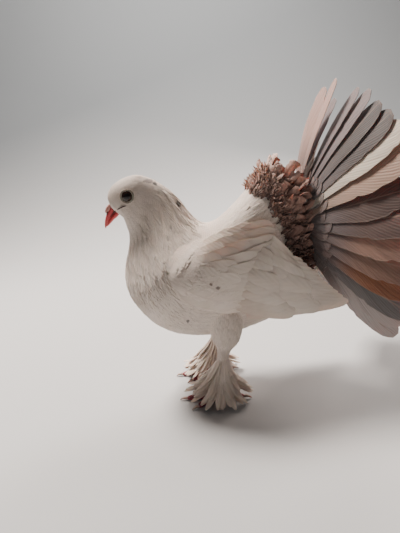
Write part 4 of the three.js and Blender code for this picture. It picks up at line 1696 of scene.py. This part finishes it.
@dataclass
class Face:
    """The eyes with their rims, and the bill with its cere; sizes in millimetres."""

    rims: tuple[tuple[float, float], ...] = ((4.35, 0.5), (5.15, 0.6))
    rim_sunk: float = 0.25
    mouth: tuple[tuple[float, float], ...] = ((-65.4, 168.1), (-61.0, 170.2), (-57.2, 171.6), (-54.2, 172.0))

    def eyes(self) -> None:
        """Builds both eyes."""
        y, z = EYE_PLACE
        x = BODY.half_at(y, z)
        for side, sign in zip(SIDES, (1, -1)):
            turn = Matrix.Rotation(math.radians(90 * sign), 3, "Y")
            bm = bmesh.new()
            layer = bm.loops.layers.uv.new("Blade")
            bmesh.ops.create_uvsphere(bm, u_segments=40, v_segments=28, radius=EYE_RADIUS - 0.05)
            for face in bm.faces:
                for loop in face.loops:
                    from_pole = math.acos(max(-1, min(1, loop.vert.co.z / EYE_RADIUS)))
                    loop[layer].uv = (0.5, from_pole / math.pi)
            bmesh.ops.rotate(bm, verts=bm.verts, cent=(0, 0, 0), matrix=turn)
            bmesh.ops.translate(bm, verts=bm.verts, vec=((x - EYE_SUNK) * sign, y, z))
            register(object_from(f"eyeball_{side}", bm), Finish.EYE, (f"eye_{side}",))
            self.rim(side, turn, Vector(((x - self.rim_sunk) * sign, y, z)))

    def rim(self, side: str, turn: Matrix, at: Vector) -> None:
        """Builds the bare rim around an eye.

        Args:
            side: left or right.
            turn: the turn that lays it on that side of the head.
            at: its middle.
        """
        bm = bmesh.new()
        upright = Matrix.Rotation(math.radians(90), 3, "X")
        for radius, tube in self.rims:
            ring = bmesh.ops.create_circle(bm, segments=14, radius=tube)["verts"]
            bmesh.ops.rotate(bm, verts=ring, cent=(0, 0, 0), matrix=upright)
            bmesh.ops.translate(bm, verts=ring, vec=(radius, 0, 0))
            edges = list({e for v in ring for e in v.link_edges})
            bmesh.ops.spin(bm, geom=ring + edges, cent=(0, 0, 0), axis=(0, 0, 1), angle=math.tau, steps=56,
                           use_merge=True)
        bmesh.ops.remove_doubles(bm, verts=bm.verts, dist=0.001)
        bmesh.ops.rotate(bm, verts=bm.verts, cent=(0, 0, 0), matrix=turn)
        bmesh.ops.translate(bm, verts=bm.verts, vec=at)
        register(object_from(f"eye_rim_{side}", bm), Finish.LID)

    @staticmethod
    def half_bill(name: str, loft: Loft, rings: int, sides: int, node: str) -> None:
        """Builds one half of the bill."""
        bm = bmesh.new()
        wrap_loft(bm, loft, 0.0, 4.0, 0.0, rings, sides, cap=0.03)
        register(object_from(name, bm), Finish.BILL, (node,))

    def bill(self) -> None:
        """Builds the two halves of the bill, the cere, and dark tubes of painted shade in the nostrils and
        along the mouth line.
        """
        self.half_bill("bill_top", UPPER_BILL, 60, 32, "bill_upper")
        self.half_bill("bill_bottom", LOWER_BILL, 56, 28, "bill_lower")
        cere = bmesh.new()
        dark = bmesh.new()
        for x in (1, -1):
            line = [(2.0 * x, -69.6, 173.2), (2.3 * x, -72.3, 170.0), (1.9 * x, -74.2, 166.9)]
            add_tube(cere, line, (1.7, 1.95, 1.1), 24, 20)
            # painted shade in each nostril
            line = [(3.3 * x, -72.0, 168.2), (3.15 * x, -73.2, 166.6), (2.8 * x, -74.0, 165.0)]
            add_tube(dark, line, (0.3, 0.42, 0.25), 14, 12)
            # painted shade along the closed mouth and back along the gape
            line = [(3.0 * x, -71.4, 162.9), (4.4 * x, -68.4, 166.0)]
            line += [((BODY.half_at(y, z) - 0.1) * x, y, z) for y, z in self.mouth]
            add_tube(dark, line, (0.2, 0.35, 0.4, 0.38, 0.4, 0.15), 36, 12)
        register(object_from("cere", cere), Finish.CERE)
        register(object_from("bill_slit_shade", dark), Finish.DARK)

    def build(self) -> None:
        """Builds the whole face."""
        self.eyes()
        self.bill()


@dataclass(frozen=True)
class Toe:
    """A toe's direction from straight ahead and its length."""

    name: str
    degrees: float
    reach: float


TOES = (Toe("inner", -34, 24), Toe("middle", -2, 30), Toe("outer", 32, 24), Toe("hind", 170, 20))


@dataclass(frozen=True)
class MuffRow:
    """A row of foot feathers: from which angle to which, how far out they reach and how high they start."""

    count: int
    low: float
    high: float
    reach: float
    top: float
    width: float


MUFF_ROWS = (
    MuffRow(24, -50, 180, 25.0, 20.0, 5.6),
    MuffRow(26, -60, 190, 22.5, 25.0, 5.2),
    MuffRow(24, -70, 200, 18.5, 30.0, 4.8),
    MuffRow(22, -80, 215, 13.5, 35.0, 4.2),
    MuffRow(18, -90, 270, 9.5, 39.0, 3.8),
)


@dataclass
class Foot:
    """A feathered foot with its toes and claws; sizes in millimetres and degrees."""

    side: str
    toe_line: tuple[tuple[float, float], ...] = ((0, 2.9), (0.3, 2.8), (0.65, 2.6), (1, 2.0))
    toe_radii: tuple[float, ...] = (3.0, 2.75, 2.6, 1.9)
    claw_line: tuple[tuple[float, float], ...] = ((-0.6, 2.0), (2.4, 2.3), (4.6, 1.8), (6.4, 0.55))
    claw_radii: tuple[float, ...] = (1.35, 1.2, 0.8, 0.25)
    shank_radii: tuple[float, ...] = (5.0, 4.6, 3.6)
    tuft: float = 28.0
    lowest: float = 0.15

    def __post_init__(self) -> None:
        """Makes the blade and finds the foot's place."""
        self.sign = 1 if self.side == "left" else -1
        self.ankle = ANKLE[self.side]
        self.rng = np.random.default_rng(51 if self.side == "left" else 52)
        self.blade = Template.build(4, 8)

    def at(self, degrees: float, reach: float, height: float) -> tuple[float, float, float]:
        """Gives a point over the floor from the ankle.

        Args:
            degrees: the angle from straight ahead, outwards.
            reach: the distance from the ankle.
            height: the height over the floor.

        Returns:
            The point.
        """
        a = math.radians(degrees)
        return (self.sign * (FOOT_SPREAD + math.sin(a) * reach), self.ankle - math.cos(a) * reach, height)

    def beside_leg(self, degrees: float, reach: float, height: float) -> Floats:
        """Gives a point beside the leg at a height.

        Args:
            degrees: the angle from straight ahead, outwards.
            reach: the distance from the leg's middle line.
            height: the height over the floor.

        Returns:
            The point.
        """
        x, y, z = self.at(degrees, reach, height)
        back = np.interp(height, [7.4, 27.0, 44.0], [0.0, 2.0, 5.0])
        forward = (ANKLE["left"] - self.ankle) * (1 - down_leg(height))
        return np.array([x, y + back + forward, z])

    def toes(self) -> None:
        """Builds the scaled toes."""
        bm = bmesh.new()
        for toe in TOES:
            line = [self.at(toe.degrees, toe.reach * u, height) for u, height in self.toe_line]
            add_tube(bm, line, self.toe_radii, 44, 16, scutes=0.10, flat=0.88)
        add_tube(bm, [self.at(0, 0, height) for height in (3.0, 6.0, 12.0)], self.shank_radii, 20, 20)
        register(object_from(f"toes_{self.side}", bm), Finish.TOE, (f"foot_{self.side}",))

    def claws(self) -> None:
        """Builds the claws."""
        for toe in TOES:
            bm = bmesh.new()
            line = [self.at(toe.degrees, toe.reach + out, height) for out, height in self.claw_line]
            add_tube(bm, line, self.claw_radii, 20, 12)
            name = f"{toe.name}_{self.side}"
            register(object_from(f"horn_{name}", bm), Finish.CLAW, (f"claw_{name}",))

    def muff_feather(self, degrees: float, row: MuffRow, sheaf: Sheaf) -> None:
        """Lays one feather from the shank down over the toes.

        Args:
            degrees: its angle from straight ahead, outwards.
            row: the row it stands in.
            sheaf: the feathers to add to.
        """
        draw = self.rng.uniform
        toe = max(math.exp(-(degrees / 60) ** 4), math.exp(-((degrees - 170) / 20) ** 2))
        floor = 1.2 + 6.5 * toe + (25 - row.reach) * 0.9 + draw(0, 2.2)
        far = row.reach * draw(0.8, 1.1) + 4.5 * toe
        bent = degrees * 0.5 + self.tuft * round(degrees / self.tuft) * 0.5 + draw(-4, 4)
        root = self.beside_leg(degrees, 3.6, row.top)
        middle = self.beside_leg(degrees, 5.0 + 0.30 * (far - 5.0), row.top * 0.55 + floor * 0.45)
        tip = np.array(self.at(bent, far, floor))
        out = unit(np.array([tip[0] - root[0], tip[1] - root[1], 0.0])) * 0.85
        face = unit(out + np.array([0, 0, 0.55]) + 0.18 * draw(-1, 1, 3))
        sheaf.add([bend(root, middle, tip)], [face], [row.width * draw(0.75, 1.15)])

    def muff(self) -> None:
        """Lays the feathers that spread from the shank over the toes."""
        sheaf = Sheaf()
        for row in MUFF_ROWS:
            for k in range(row.count):
                degrees = row.low + (row.high - row.low) * k / (row.count - 1)
                self.muff_feather(degrees + self.rng.uniform(-4, 4), row, sheaf)
        corners = sheaf.corners(self.blade, COVERT_BLADE, 0.08, 0.22)
        corners[:, :, 2] = np.maximum(corners[:, :, 2], self.lowest - ORIGIN[2])
        roots = patches(len(corners), 30, (0.02, 0.02), (0.03, 0.03))
        tint = self.rng.uniform(0, 1, len(corners))
        piece = Plumes(f"muff_{self.side}", self.blade).build(corners, roots, tint, cell=0.025)
        register(piece, Finish.WHITE)

    def build(self) -> None:
        """Builds the whole foot."""
        self.toes()
        self.claws()
        self.muff()


@dataclass(frozen=True)
class Lamp:
    """A soft light: its place in metres, its watts, its side, its colour and what it looks at."""

    name: str
    at: tuple[float, float, float]
    power: float
    size: float
    colour: tuple[float, float, float]
    target: tuple[float, float, float] = (0.0, 0.0, 0.13)


@dataclass(frozen=True)
class Studio:
    """The floor, the lights and the camera."""

    distance: float = 330.0
    height: float = 189.0
    pitch: float = 12.8
    roll: float = 4.9
    lens: float = 26.3
    floor_half: float = 6.0
    floor_colour: tuple[float, float, float] = (0.50, 0.515, 0.53)
    sweep_start: float = 0.55
    sweep_radius: float = 1.6
    room_colour: tuple[float, float, float] = (0.76, 0.74, 0.73)
    room_light: float = 0.13
    lamps: tuple[Lamp, ...] = (
        Lamp("key", (-0.33, -0.44, 1.12), 40.0, 0.34, (1.0, 0.88, 0.78)),
        Lamp("fill", (1.1, -0.9, 0.9), 0.3, 1.2, (0.88, 0.94, 1.0)),
        Lamp("back", (-0.9, 0.6, 0.8), 17.0, 0.5, (1.0, 0.84, 0.74)),
        Lamp("wall", (-1.0, 0.0, 1.9), 27.0, 1.2, (1.0, 0.97, 0.93), (-2.2, 0.0, 0.7)),
    )

    def camera(self) -> None:
        """Places the camera at the photo's angle."""
        data = bpy.data.cameras.new("camera")
        data.lens = self.lens
        data.sensor_width = 36.0
        data.clip_start = 0.01
        made = add_object("camera", data)
        at = (np.array([self.distance, 0.0, self.height]) + ORIGIN) * MM
        heading = Matrix.Rotation(math.radians(90), 4, "Z")
        pitch = Matrix.Rotation(math.radians(90 - self.pitch), 4, "X")
        roll = Matrix.Rotation(math.radians(-self.roll), 4, "Z")
        made.matrix_world = Matrix.Translation(Vector(at)) @ heading @ pitch @ roll
        bpy.context.scene.camera = made

    @staticmethod
    def light(lamp: Lamp) -> None:
        """Adds one soft light."""
        data = bpy.data.lights.new(lamp.name, "AREA")
        data.energy = lamp.power
        data.size = lamp.size
        data.color = lamp.colour
        made = add_object(lamp.name, data)
        aim = (Vector(lamp.target) - Vector(lamp.at)).to_track_quat("-Z", "Y")
        made.matrix_world = Matrix.Translation(Vector(lamp.at)) @ aim.to_matrix().to_4x4()

    def floor(self) -> None:
        """Adds the plain pale floor, which curves up far behind the bird."""
        bm = bmesh.new()
        bmesh.ops.create_grid(bm, x_segments=160, y_segments=1, size=self.floor_half)
        for vert in bm.verts:
            past = max(-self.sweep_start - vert.co.x, 0.0)
            turn = min(past / self.sweep_radius, math.pi / 2)
            rest = past - turn * self.sweep_radius
            if past > 0:
                vert.co.x = -self.sweep_start - self.sweep_radius * math.sin(turn)
                vert.co.z = self.sweep_radius * (1 - math.cos(turn)) + rest
        mesh = bpy.data.meshes.new("floor")
        for face in bm.faces:
            face.smooth = True
        bm.to_mesh(mesh)
        bm.free()
        matt = Shader("floor").finish({"Base Color": self.floor_colour, "Roughness": 0.9}, {})
        mesh.materials.append(matt)
        add_object("floor", mesh)

    def build(self) -> None:
        """Builds the studio."""
        self.floor()
        self.camera()
        for lamp in self.lamps:
            self.light(lamp)
        world = bpy.data.worlds.new("studio")
        world.use_nodes = True
        inputs = world.node_tree.nodes["Background"].inputs
        inputs[0].default_value = (*self.room_colour, 1.0)
        inputs[1].default_value = self.room_light
        bpy.context.scene.world = world


def main() -> None:
    """Builds the bird and its studio."""
    logging.basicConfig(level=logging.INFO, format="%(name)s: %(message)s")
    Studio().build()
    body = Body()
    body.skin()
    body.coat()
    for side in SIDES:
        Wing(side).build()
    Tail().build()
    Face().build()
    for side in SIDES:
        Foot(side).build()


if __name__ == "__main__":
    main()
